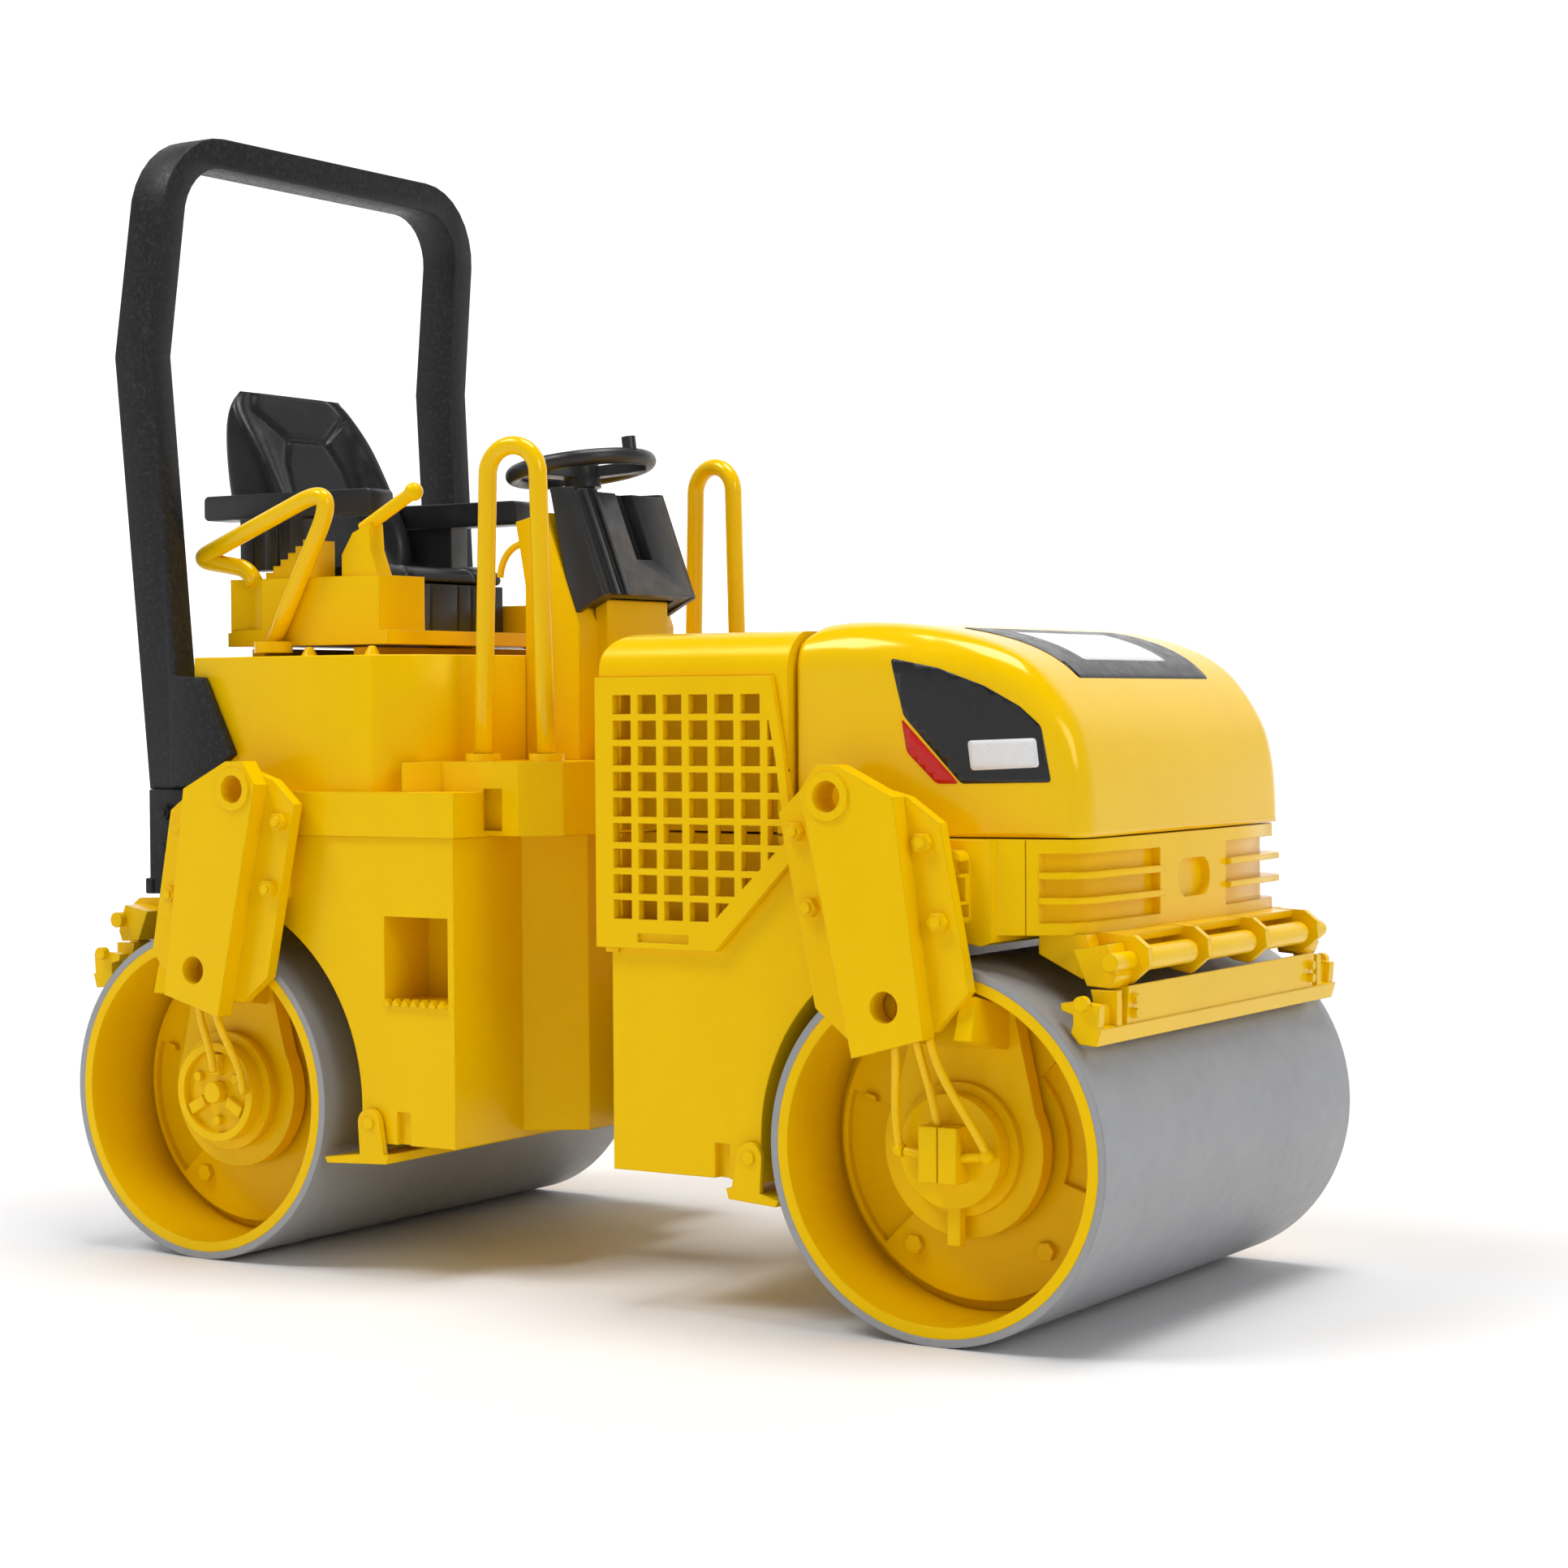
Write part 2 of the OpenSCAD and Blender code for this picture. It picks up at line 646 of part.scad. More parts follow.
// Closed tank that carries the operator deck, with two seat runners on top
module water_tank() {
    color(yellow) {
        difference() {
            translate([0, 0, 65.4]) linear_extrude(deck_z - 65.4) tank_plan(0);
            translate([0, 0, 65.4 + wall]) linear_extrude(deck_z - 65.4 - 2 * wall) tank_plan(wall);
        }
        for (x = [-58.8, -40]) block([x - 1.2, -24, deck_z - 0.1], [x + 1.2, 24, deck_z + 1.3]);
        both_sides() for (x = [-48, -36.6]) translate([x, -25.4, deck_z - 0.1])
            cylinder(h = 1.5, r1 = 1.3, r2 = 0.5, $fn = 32);
    }
}

// Band round the deck with a landing that holds the hand rails
module deck_ledge() {
    color(yellow) {
        difference() {
            union() {
                translate([0, 0, 59.6]) linear_extrude(6) polygon([[-66, -35.9], [-14.2, -35.9], [-14.2, -27],
                    [-8, -20], [-8, 20], [-14.2, 27], [-14.2, 35.9], [-66, 35.9]]);
                translate([0, 0, 59.7]) linear_extrude(9.9) polygon([[-25, -33.6], [-22, -28.6], [-9, -28.6],
                    [-4.2, -25], [-2.8, -19], [-2.8, 19], [-4.2, 25], [-9, 28.6], [-22, 28.6], [-25, 33.6]]);
            }
            both_sides() {
                block([-67, -37, 59], [foot_x, foot_y, 66]);
                translate([0, 0, 60.4]) linear_extrude(5.6)
                    polygon([[-15.6, -27.2], [-14, -30], [-12, -30], [-11.6, -27.2]]);
            }
            translate([0, 0, 65.4]) linear_extrude(6) tank_plan(0);
        }
        both_sides() on_rail() difference() {
            for (s = [-1, 1]) translate([s * rail_foot, 0, rail_base_z - 0.1]) cylinder(h = 1.2, r = 2.4);
            rail_legs(0.03);
        }
    }
}

// Frame of a hand rail: its plane is toed in towards the front
module on_rail() {
    translate([-12.6, -24.5, 0]) rotate(9.5) children();
}

rail_base_z = 69.6;
rail_bend_r = 3.8;
rail_bend_z = 108.4;
rail_lean = 1.5;
rail_top = [rail_bend_r * cos(rail_lean), 0, rail_bend_z + rail_bend_r * sin(rail_lean)];
rail_foot = rail_top.x + (rail_top.z - rail_base_z) * tan(rail_lean);

// The two legs of a hand rail, which lean together slightly towards the top, grown by gap
module rail_legs(gap) {
    for (side = [0, 180]) rotate(side) translate([rail_foot, 0, rail_base_z]) rotate([0, -rail_lean, 0])
        cylinder(h = (rail_top.z - rail_base_z) / cos(rail_lean), r = rail_d / 2 + gap, $fn = 32);
}

// Hand rail: one bent tube, two legs joined by a half ring
module handrail() {
    foot = [rail_foot, 0, rail_base_z];
    bend = [for (i = [0:12]) let(a = rail_lean + (180 - 2 * rail_lean) * i / 12)
        [rail_bend_r * cos(a), 0, rail_bend_z + rail_bend_r * sin(a)]];
    color(yellow) on_rail() swept_tube(concat([foot], bend, [[-foot.x, 0, foot.z]]), rail_d / 2, 16);
}

module steering_pedestal() {
    color(yellow) difference() {
        union() {
            across(-11.6, 11.6) polygon([[-20.4, rail_base_z], [-11.2, rail_base_z], [-11.2, 88.4], [-17, 104], [-22, 102.8],
                [-20.4, 94]]);
            across(-7.4, 7.4) rect([-11.4, rail_base_z], [-9.4, 91.8]);
        }
        column_bore();
    }
}

// Thin curved guide that leads the control cable into the back of the pedestal
module cable_guide() {
    color(yellow) swept_tube(bezier([-21.2, -10.4, 99.8], [-23.6, -10.4, 99.9], [-25.4, -10.4, 98],
        [-25.7, -10.4, 95.2], 8), 0.5);
}

// Instrument box with raised ribs and a long slot in its sloping face
module dash_box() {
    cheek = [[-16.2, 107.4], [-12.8, 107.4], [-7.2, 92.4], [-12.4, 89.6]];
    color(black) difference() {
        union() {
            across(-10.4, 10.4) polygon([[-16, 107], [-12.6, 107], [-7, 92.6], [-11.3, 90.6]]);
            across(-11.4, -10.3) polygon(cheek);
            across(10.3, 11.4) polygon(cheek);
            for (y = [-9.2, -6.8]) across(y, y + 0.8)
                polygon([[-13.2, 107.3], [-12, 107.3], [-6.3, 92.4], [-7.6, 92.4]]);
        }
        across(-0.8, 3.2) polygon([[-15, 108], [-11.4, 108], [-7.6, 98], [-10.8, 97]]);
        across(-20, 20) polygon([[-22.1, 102.9], [-17, 104.1], [-11.1, 88.2], [-11.1, 80], [-30, 80]]);
        across(-7.6, 7.6) rect([-12, 88], [-7.4, 92]);
        column_bore();
    }
}

// Frame of the wheel plane, centred on the steering wheel
module on_column() {
    translate(wheel_c) rotate([0, -column_lean, 0]) children();
}

module steering_wheel() {
    rim_r = steering_wheel_d / 2 - 1.15;
    color(black) on_column() {
        rotate_extrude($fn = 96) translate([rim_r, 0]) circle(1.15, $fn = 32);
        translate([0, 0, -3]) cylinder(h = 3.4, r = 2.6);
        for (a = [30, 150, 270]) rotate(a) rotate([90, 0, 90]) linear_extrude(rim_r - 0.4)
            polygon([[-1.1, -1.6], [1.1, -1.6], [0.8, 0], [-0.8, 0]]);
    }
}

module spinner_knob() {
    color(black) on_column() rotate(-7) translate([steering_wheel_d / 2 - 1.15, 0, 0.7]) cylinder(h = 2, r = 1);
}

module steering_shaft() {
    color(black) on_column() translate([0, 0, -14]) cylinder(h = 11.2, r = shaft_r);
}

module column_bore() {
    on_column() translate([0, 0, -14.4]) cylinder(h = 18, r = shaft_r + run_gap);
}

// ---------- roll-over frame ----------

rops_tube = 4.3;
rops_corner = 12;
rops_shoulder = rops_half_w - 0.8;
post_base_z = 65.6;

function corner_arc(c, r, from) = [for (i = [0:8]) c + r * [cos(from - i * 11.25), sin(from - i * 11.25)]];

// Outline of the frame seen along X, inset by t, standing on height base
module rops_outline(t, base) {
    c = [rops_shoulder - rops_corner, rops_z - rops_corner];
    polygon(concat([[t - 34.3, base], [t - rops_half_w, 127]], corner_arc([-c.x, c.y], rops_corner - t, 180),
        corner_arc(c, rops_corner - t, 90), [[rops_half_w - t, 127], [34.3 - t, base]]));
}

// Arch of box section with a gusset plate in front of each post
module rops_arch() {
    color(black) {
        intersection() {
            difference() {
                along(-80, -50) rops_outline(0, post_base_z);
                along(-81, -49) rops_outline(rops_tube, post_base_z - 1);
            }
            across(-50, 50) polygon([[-69.9, 60], [-63.4, 60], [-67.9, 127], [-65.7, 147], [-65, rops_z + 1],
                [-71.5, rops_z + 1], [-72.3, 147], [-74.7, 127]]);
        }
        both_sides() across(-35.2, -33.7) polygon([[-65.6, 66], [-65.6, 81.6], [-59.5, 81.4], [-54, 70.6],
            [-60.2, 66]]);
    }
}

// Cast feet that carry the posts
module rops_feet() {
    color(black) both_sides() {
        block([-69.9, -34.9, 50.8], [foot_x - 0.1, foot_y - 0.2, post_base_z]);
        block([-70.4, -35.3, 50.8], [-69, -30, 53]);
    }
}

module rops_bolts() {
    color(black) both_sides() for (z = [57.4, 62.4]) bolt_y(-66.4, z, -34.9, 2.4, 0.9);
}

// ---------- seat and its sliding platform ----------

platform_z = deck_z + 1.6;
cushion_z = 95;
back_z = 97.8;

module seat_platform() {
    edge_y = 25.3;
    console_x = [-62.7, -35.3];
    color(yellow) {
        block([-63.3, -edge_y, platform_z], [-33.8, edge_y, platform_z + 2]);
        difference() {
            across(-edge_y, -15.4) rect([console_x[0], platform_z + 1.9], [console_x[1], 95.4]);
            translate([-59.7, -28.9, platform_z + 2.4]) cylinder(h = 12, r = 4.6);
        }
        for (i = [0:5]) block([-57.2 + i * 1.4, -24, 95.3], [-50, -17.4, 96.3 + i * 0.9]);
        across(-24.6, -21.6) polygon([[-42.6, 95.3], [-36, 95.3], [-37.4, 99], [-37.6, 102.6], [-40.6, 101.4],
            [-42.6, 98.4]]);
        across(15.4, edge_y) rect([console_x[0], platform_z + 1.9], [console_x[1], 92.2]);
        translate([-53.6, -26.6, platform_z - 1]) cylinder(h = 1.6, r = 2.7);
        block([-55.4, -26.6, platform_z + 0.1], [-51.8, -25, platform_z + 0.6]);
    }
}

module seat_base() {
    front_x = -44;
    color(black) difference() {
        block([-62.6, -14, platform_z + 2], [front_x, 14, cushion_z]);
        for (y = [-6.4, -3.2, 3.2, 6.4]) translate([front_x, y, 80]) cylinder(h = 20, r = 0.3, $fn = 24);
    }
}

// Plain closed solid of the cushion
module seat_cushion() {
    color(black) across(-14.2, 14.2) polygon([[-62.3, cushion_z], [-44.6, cushion_z], [-43.8, 95.6], [-45, 97.2],
        [-47.6, back_z], [-62.3, back_z]]);
}

// Plain closed solid of the winged backrest
module seat_back() {
    color(black) {
        across(-10.6, 10.6) polygon([[-62.6, back_z], [-67, back_z], [-73.6, 108], [-74.6, 118], [-74, 123.6],
            [-72.4, 124.3], [-71, 122.6], [-69.8, 116], [-66, 106]]);
        both_sides() across(-14.2, -10.4) polygon([[-60.6, back_z], [-67, back_z], [-73.6, 108], [-74.2, 117],
            [-73, 122.8], [-70.4, 119.3], [-67.8, 116], [-64.9, 110.9], [-61.2, 103.6]]);
    }
}

module armrests() {
    color(black) both_sides() {
        across(-19.6, -14.4) round_rect([-73, 104.4], [-41.6, 108], 0.8);
        for (i = [0:4]) across(-19 + (i % 2) * 0.5, -15) rect([-66.6 + i * 2.4, 96.9], [-64.2 + i * 2.4, 104.5]);
    }
}

// Points along a path whose corners are rounded to radius r
function rounded_corner(a, b, c, r, steps = 6) =
    let(u = (a - b) / norm(a - b), v = (c - b) / norm(c - b))
    [for (i = [0:steps]) let(t = i / steps) b + u * r * (1 - t) * (1 - t) + v * r * t * t];

// Grab rail: foot, upright, round bend, long back bar and the return to the console
module grab_rail() {
    foot = [-53.6, -26.6, platform_z + 0.5];
    knee = [-41.2, -26.6, 108.6];
    tail = [-68, -26.6, 98.4];
    hook = [-60.6, -24.2, 97];
    pts = concat([foot], rounded_corner(foot, knee, tail, 8), rounded_corner(knee, tail, hook, 2.6, 5),
        rounded_corner(tail, hook, hook + [1.4, 0.2, -3], 1.4, 3), [hook + [1.4, 0.2, -2.2]]);
    color(yellow) swept_tube(pts, rail_d / 2, 12);
}

module drive_lever() {
    color(yellow) {
        bar([-39.9, -23.1, 102], [-30.8, -23.1, 106.8], 0.95);
        translate([-30.8, -23.1, 106.8]) sphere(1.3, $fn = 32);
    }
}

// ---------- placement ----------

rear_chassis();
water_tank();
deck_ledge();
handrail();  // handrail_right
mirror([0, 1, 0]) handrail();  // handrail_left
steering_pedestal();
cable_guide();
dash_box();
rops_arch();
rops_feet();
rops_bolts();
to_rear() bracket();  // rear_bracket_right
to_rear() mirror([0, 1, 0]) bracket();  // rear_bracket_left
to_rear() bracket_bolts();  // rear_bracket_bolts
to_rear() arm();  // rear_arm_right
to_rear() mirror([0, 1, 0]) arm();  // rear_arm_left
to_rear() both_sides() hub_cover();  // rear_hub_covers
to_rear() both_sides() hoses(0, 1);  // rear_hoses
to_rear() scraper_frame();  // rear_scraper_frame
to_rear() spray_bar();  // rear_spray_bar
to_rear() outer_scraper();  // rear_outer_scraper
axle(-axle_x);  // rear_axle
rear_yoke();
articulation_pin();
seat_platform();
seat_base();
seat_cushion();
seat_back();
armrests();
grab_rail();
drive_lever();
steering_wheel();
spinner_knob();
steering_shaft();
front_chassis();
engine_cowl();
grille();  // grille_right
mirror([0, 1, 0]) grille();  // grille_left
nose_panel();
engine_block();
bracket();  // front_bracket_right
mirror([0, 1, 0]) bracket();  // front_bracket_left
bracket_bolts();  // front_bracket_bolts
arm();  // front_arm_right
mirror([0, 1, 0]) arm();  // front_arm_left
both_sides() motor();  // front_motors
both_sides() hoses(0, 2);  // front_hoses
front_scraper_frame();
spray_bar();  // front_spray_bar
outer_scraper();  // front_outer_scraper
axle(axle_x);  // front_axle
front_yoke();
bonnet_pins();
bonnet();
drum_sleeve(axle_x);  // front_drum_sleeve
drum_core(axle_x);  // front_drum_core
drum_sleeve(-axle_x);  // rear_drum_sleeve
drum_core(-axle_x);  // rear_drum_core
inner_scraper(front_pin.x, front_pin.y, half_w, 4.4);  // front_inner_scraper
to_rear() inner_scraper(-rear_pin.x, rear_pin.y, rear_half_w, 7.8);  // rear_inner_scraper
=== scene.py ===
"""Looks of a toy tandem road roller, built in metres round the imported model."""
import json
import math

import bmesh
import bpy
import numpy as np
from mathutils import Matrix, Vector


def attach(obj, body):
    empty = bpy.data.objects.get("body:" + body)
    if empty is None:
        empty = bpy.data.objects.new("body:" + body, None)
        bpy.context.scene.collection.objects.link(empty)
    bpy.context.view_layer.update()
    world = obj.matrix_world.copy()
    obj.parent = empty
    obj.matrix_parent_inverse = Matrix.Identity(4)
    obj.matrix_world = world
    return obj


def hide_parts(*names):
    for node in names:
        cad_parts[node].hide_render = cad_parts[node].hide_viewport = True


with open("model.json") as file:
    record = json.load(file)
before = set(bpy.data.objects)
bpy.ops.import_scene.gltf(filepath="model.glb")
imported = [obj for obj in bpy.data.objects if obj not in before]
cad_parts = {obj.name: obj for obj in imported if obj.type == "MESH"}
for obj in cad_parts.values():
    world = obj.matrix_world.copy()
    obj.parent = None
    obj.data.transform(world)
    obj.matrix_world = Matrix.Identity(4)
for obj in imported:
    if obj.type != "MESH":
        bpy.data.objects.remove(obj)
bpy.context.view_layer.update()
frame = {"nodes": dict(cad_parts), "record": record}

MM = 0.001
NODES = frame["nodes"]


# ---------- camera, floor and light ----------

CAMERA_AZIMUTH = 32.36
CAMERA_ELEVATION = 1.46
CAMERA_ROLL = -0.36
CAMERA_DISTANCE = 452.7 * MM
CAMERA_TARGET = Vector((0, 23.37, 65.49)) * MM
CAMERA_LENS = 71.27
CAMERA_SENSOR = 36

FLOOR_RADIUS, BEND_RADIUS, WALL_TOP = 0.95, 0.45, 1.6
# Name, place in metres, side in metres, power in watts
SOFT_BOXES = [
    ("key_light", (-0.55, -0.6, 1.2), 0.5, 8.4),
    ("front_light", (1.15, -0.4, 0.6), 0.5, 3.2),
    ("top_light", (0.15, 0.1, 1.3), 0.6, 12),
]
SKY_STRENGTH = 0.05


def make_camera():
    """Places the camera on a sphere round its target and rolls it slightly."""
    azimuth, elevation = math.radians(CAMERA_AZIMUTH), math.radians(CAMERA_ELEVATION)
    back = Vector((
        math.sin(azimuth) * math.cos(elevation),
        -math.cos(azimuth) * math.cos(elevation),
        math.sin(elevation),
    ))
    right = Vector((math.cos(azimuth), math.sin(azimuth), 0))
    up = back.cross(right)
    turn = Matrix.Rotation(math.radians(CAMERA_ROLL), 3, back)
    right, up = turn @ right, turn @ up
    data = bpy.data.cameras.new("camera")
    data.lens, data.sensor_width = CAMERA_LENS, CAMERA_SENSOR
    data.clip_start, data.clip_end = 0.01, 20
    camera = bpy.data.objects.new("camera", data)
    axes = Matrix((right, up, back)).transposed().to_4x4()
    camera.matrix_world = Matrix.Translation(CAMERA_TARGET + back * CAMERA_DISTANCE) @ axes
    bpy.context.scene.collection.objects.link(camera)
    bpy.context.scene.camera = camera


def add_light(name, place, size, power, aim=(0, 0, 0.06)):
    """A square soft box that points at the object."""
    data = bpy.data.lights.new(name, "AREA")
    data.shape, data.size, data.energy = "SQUARE", size, power
    light = bpy.data.objects.new(name, data)
    light.location = place
    light.rotation_euler = (Vector(aim) - Vector(place)).to_track_quat("-Z", "Y").to_euler()
    bpy.context.scene.collection.objects.link(light)


def make_studio():
    """A pale round floor that curves up into a wall, the soft boxes and a faint sky."""
    turns, bends = 96, 12
    profile = [(FLOOR_RADIUS, 0.0)]
    for step in range(1, bends + 1):
        angle = math.radians(90 * step / bends)
        profile.append((FLOOR_RADIUS + BEND_RADIUS * math.sin(angle), BEND_RADIUS * (1 - math.cos(angle))))
    profile.append((FLOOR_RADIUS + BEND_RADIUS, WALL_TOP))
    angles = [2 * math.pi * k / turns for k in range(turns)]
    mesh = bmesh.new()
    rings = []
    for radius, height in profile:
        rings.append([mesh.verts.new((radius * math.cos(a), radius * math.sin(a), height)) for a in angles])
    mesh.faces.new(rings[0])
    grid_faces(mesh, rings, closed=True)
    floor = finish_mesh("studio_floor", mesh, smooth=True)
    floor.data.materials.append(FLOOR)
    for soft_box in SOFT_BOXES:
        add_light(*soft_box)
    world = bpy.data.worlds.new("sky")
    world.use_nodes = True
    sky = world.node_tree.nodes["Background"]
    sky.inputs["Color"].default_value = (1.0, 1.0, 1.0, 1)
    sky.inputs["Strength"].default_value = SKY_STRENGTH
    bpy.context.scene.world = world
    bpy.context.scene.view_settings.view_transform = "Standard"


# ---------- materials ----------

def new_material(name, roughness, **fixed):
    """A principled material whose constants sit directly on its sockets."""
    material = bpy.data.materials.new(name)
    material.use_nodes = True
    shader = material.node_tree.nodes["Principled BSDF"]
    shader.inputs["Roughness"].default_value = roughness
    for socket, value in fixed.items():
        shader.inputs[socket.replace("_", " ")].default_value = value
    return material, material.node_tree, shader


def noise(tree, scale, detail=3.0, rough=0.55, stretch=(1, 1, 1)):
    """Noise in object space; scale counts features per metre."""
    coords = tree.nodes.new("ShaderNodeTexCoord")
    mapping = tree.nodes.new("ShaderNodeMapping")
    mapping.inputs["Scale"].default_value = stretch
    texture = tree.nodes.new("ShaderNodeTexNoise")
    texture.inputs["Scale"].default_value = scale
    texture.inputs["Detail"].default_value = detail
    texture.inputs["Roughness"].default_value = rough
    tree.links.new(coords.outputs["Object"], mapping.inputs["Vector"])
    tree.links.new(mapping.outputs["Vector"], texture.inputs["Vector"])
    return texture.outputs["Fac"]


def remap(tree, value, low, high, start=0.35, stop=0.65):
    """Spreads a noise value over the range low to high."""
    node = tree.nodes.new("ShaderNodeMapRange")
    node.inputs["From Min"].default_value = start
    node.inputs["From Max"].default_value = stop
    node.inputs["To Min"].default_value = low
    node.inputs["To Max"].default_value = high
    tree.links.new(value, node.inputs["Value"])
    return node.outputs["Result"]


def mix_colours(tree, factor, first, second):
    """Blends two colours, each a value or a socket, by a factor socket."""
    node = tree.nodes.new("ShaderNodeMix")
    node.data_type = "RGBA"
    tree.links.new(factor, node.inputs["Factor"])
    for socket, colour in (("A", first), ("B", second)):
        place = next(s for s in node.inputs if s.name == socket and s.type == "RGBA")
        if isinstance(colour, tuple):
            place.default_value = (*colour, 1)
        else:
            tree.links.new(colour, place)
    return next(s for s in node.outputs if s.type == "RGBA")


def bump(tree, shader, height, distance, strength=1.0, under=None):
    """Adds relief of the given depth in metres to the shader's normal."""
    node = tree.nodes.new("ShaderNodeBump")
    node.inputs["Strength"].default_value = strength
    node.inputs["Distance"].default_value = distance
    tree.links.new(height, node.inputs["Height"])
    if under:
        tree.links.new(under, node.inputs["Normal"])
    tree.links.new(node.outputs["Normal"], shader.inputs["Normal"])
    return node.outputs["Normal"]


def soft_edges(tree, radius):
    """Normals that round every edge by the radius, as a mould does; none for a zero radius."""
    if not radius:
        return None
    node = tree.nodes.new("ShaderNodeBevel")
    node.samples = 4
    node.inputs["Radius"].default_value = radius
    return node.outputs["Normal"]


def moulded_plastic(name, colour, shade, roughness, grain, depth, rough_spread=0.06, edge=0.3 * MM, **fixed):
    """Injection-moulded plastic: cloudy pigment, fine grain and uneven gloss."""
    material, tree, shader = new_material(name, roughness, **fixed)
    clouds = remap(tree, noise(tree, 40, 3), 0.0, 1.0, 0.25, 0.75)
    flow = remap(tree, noise(tree, 120, 2, stretch=(1, 1, 0.25)), 0.0, 0.3)
    pigment = mix_colours(tree, clouds, colour, shade)
    darker = tuple(0.93 * c for c in shade)
    tree.links.new(mix_colours(tree, flow, pigment, darker), shader.inputs["Base Color"])
    gloss = remap(tree, noise(tree, 420, 3), roughness - rough_spread, roughness + rough_spread)
    tree.links.new(gloss, shader.inputs["Roughness"])
    bump(tree, shader, noise(tree, grain, 2), depth, under=soft_edges(tree, edge))
    return material


def speckled_plastic(name, colour, fleck, roughness, grain, depth, **fixed):
    """Spark-eroded black plastic with a coarse sandy grain that catches light."""
    material, tree, shader = new_material(name, roughness, **fixed)
    sand = noise(tree, grain, 3, 0.7)
    flecks = remap(tree, sand, 0.0, 1.0, 0.5, 0.72)
    tree.links.new(mix_colours(tree, flecks, colour, fleck), shader.inputs["Base Color"])
    tree.links.new(remap(tree, sand, roughness - 0.1, roughness + 0.12), shader.inputs["Roughness"])
    bump(tree, shader, sand, depth, under=soft_edges(tree, 0.3 * MM))
    return material


def brushed_metal(name, colour, roughness, **fixed):
    """Turned steel with fine rings along Y."""
    material, tree, shader = new_material(name, roughness, Metallic=1.0, **fixed)
    lines = noise(tree, 900, 2, stretch=(0.15, 6, 0.15))
    tree.links.new(mix_colours(tree, remap(tree, lines, 0, 1), colour, tuple(0.7 * c for c in colour)),
                   shader.inputs["Base Color"])
    tree.links.new(remap(tree, lines, roughness - 0.08, roughness + 0.1), shader.inputs["Roughness"])
    bump(tree, shader, lines, 0.02 * MM)
    return material


YELLOW_PIGMENT = ((0.93, 0.575, 0.0), (0.905, 0.55, 0.0))
GRAIN_FINE, GRAIN_DECAL = 2600, 3200

YELLOW = moulded_plastic(
    "yellow_plastic", *YELLOW_PIGMENT, 0.24, GRAIN_FINE, 0.006 * MM,
    rough_spread=0.03, Specular_IOR_Level=0.4, Specular_Tint=(1, 0.8, 0.15, 1),
)
YELLOW_SHELL = moulded_plastic(
    "yellow_shell", *YELLOW_PIGMENT, 0.15, GRAIN_FINE, 0.004 * MM,
    rough_spread=0.02, edge=0, Specular_IOR_Level=0.6, Specular_Tint=(1, 0.9, 0.4, 1),
)
BLACK = speckled_plastic(
    "black_plastic", (0.008, 0.0085, 0.0095), (0.03, 0.031, 0.034), 0.5, 1500, 0.045 * MM,
    Specular_IOR_Level=0.35,
)
SMOOTH_BLACK = moulded_plastic(
    "smooth_black_plastic", (0.012, 0.013, 0.015), (0.018, 0.019, 0.021), 0.36, 2200, 0.012 * MM,
)
SEAT = moulded_plastic(
    "seat_plastic", (0.011, 0.0115, 0.0125), (0.015, 0.016, 0.0175), 0.33, 1900, 0.015 * MM,
    edge=0, Specular_IOR_Level=0.3,
)
SILVER = moulded_plastic(
    "drum_silver", (0.36, 0.365, 0.37), (0.32, 0.325, 0.335), 0.42, 3000, 0.018 * MM, Metallic=0.2,
)
STEEL = brushed_metal("steel", (0.42, 0.42, 0.43), 0.34)


def decal_ink(name, colour, shade):
    """Printed film: smooth, with next to no relief."""
    return moulded_plastic(name, colour, shade, 0.3, GRAIN_DECAL, 0.004 * MM, edge=0)


DECAL_BLACK = decal_ink("decal_black", (0.009, 0.009, 0.01), (0.012, 0.012, 0.013))
DECAL_WHITE = decal_ink("decal_white", (0.8, 0.8, 0.8), (0.76, 0.76, 0.77))
DECAL_RED = decal_ink("decal_red", (0.62, 0.012, 0.008), (0.56, 0.01, 0.006))

PAPER_TONES = ((0.8, 0.8, 0.805), (0.82, 0.82, 0.825))
WALL_TONE = (0.34, 0.34, 0.35)
WALL_FADE = (0.02, 0.3)
# Painted glow: the paper emits light, starting at the first depth and reaching full strength at the second,
# in metres along the view
PAINTED_GLOW_FROM, PAINTED_GLOW_FULL, PAINTED_GLOW_STRENGTH = 0.35, 1.15, 0.8


def floor_material():
    """Pale mottled paper on the floor, greyer up the wall, and a painted glow on its far side, where the
    paper itself emits light.
    """
    material, tree, shader = new_material("studio_paper", 0.9)
    mottle = remap(tree, noise(tree, 9, 3), 0, 1)
    paper = mix_colours(tree, mottle, *PAPER_TONES)
    coords = tree.nodes.new("ShaderNodeTexCoord").outputs["Object"]
    place = tree.nodes.new("ShaderNodeSeparateXYZ")
    tree.links.new(coords, place.inputs["Vector"])
    height = remap(tree, place.outputs["Z"], 0.0, 1.0, *WALL_FADE)
    tree.links.new(mix_colours(tree, height, paper, WALL_TONE), shader.inputs["Base Color"])
    shader.inputs["Emission Color"].default_value = (1, 1, 1, 1)
    away = math.radians(CAMERA_AZIMUTH)
    depth = tree.nodes.new("ShaderNodeVectorMath")
    depth.operation = "DOT_PRODUCT"
    depth.inputs[1].default_value = (-math.sin(away), math.cos(away), 0)
    tree.links.new(coords, depth.inputs[0])
    # Painted glow: emission on the paper that grows with depth away from the camera
    painted_glow = remap(tree, depth.outputs["Value"], 0.0, PAINTED_GLOW_STRENGTH, PAINTED_GLOW_FROM, PAINTED_GLOW_FULL)
    tree.links.new(painted_glow, shader.inputs["Emission Strength"])
    return material


FLOOR = floor_material()


# ---------- mesh helpers ----------

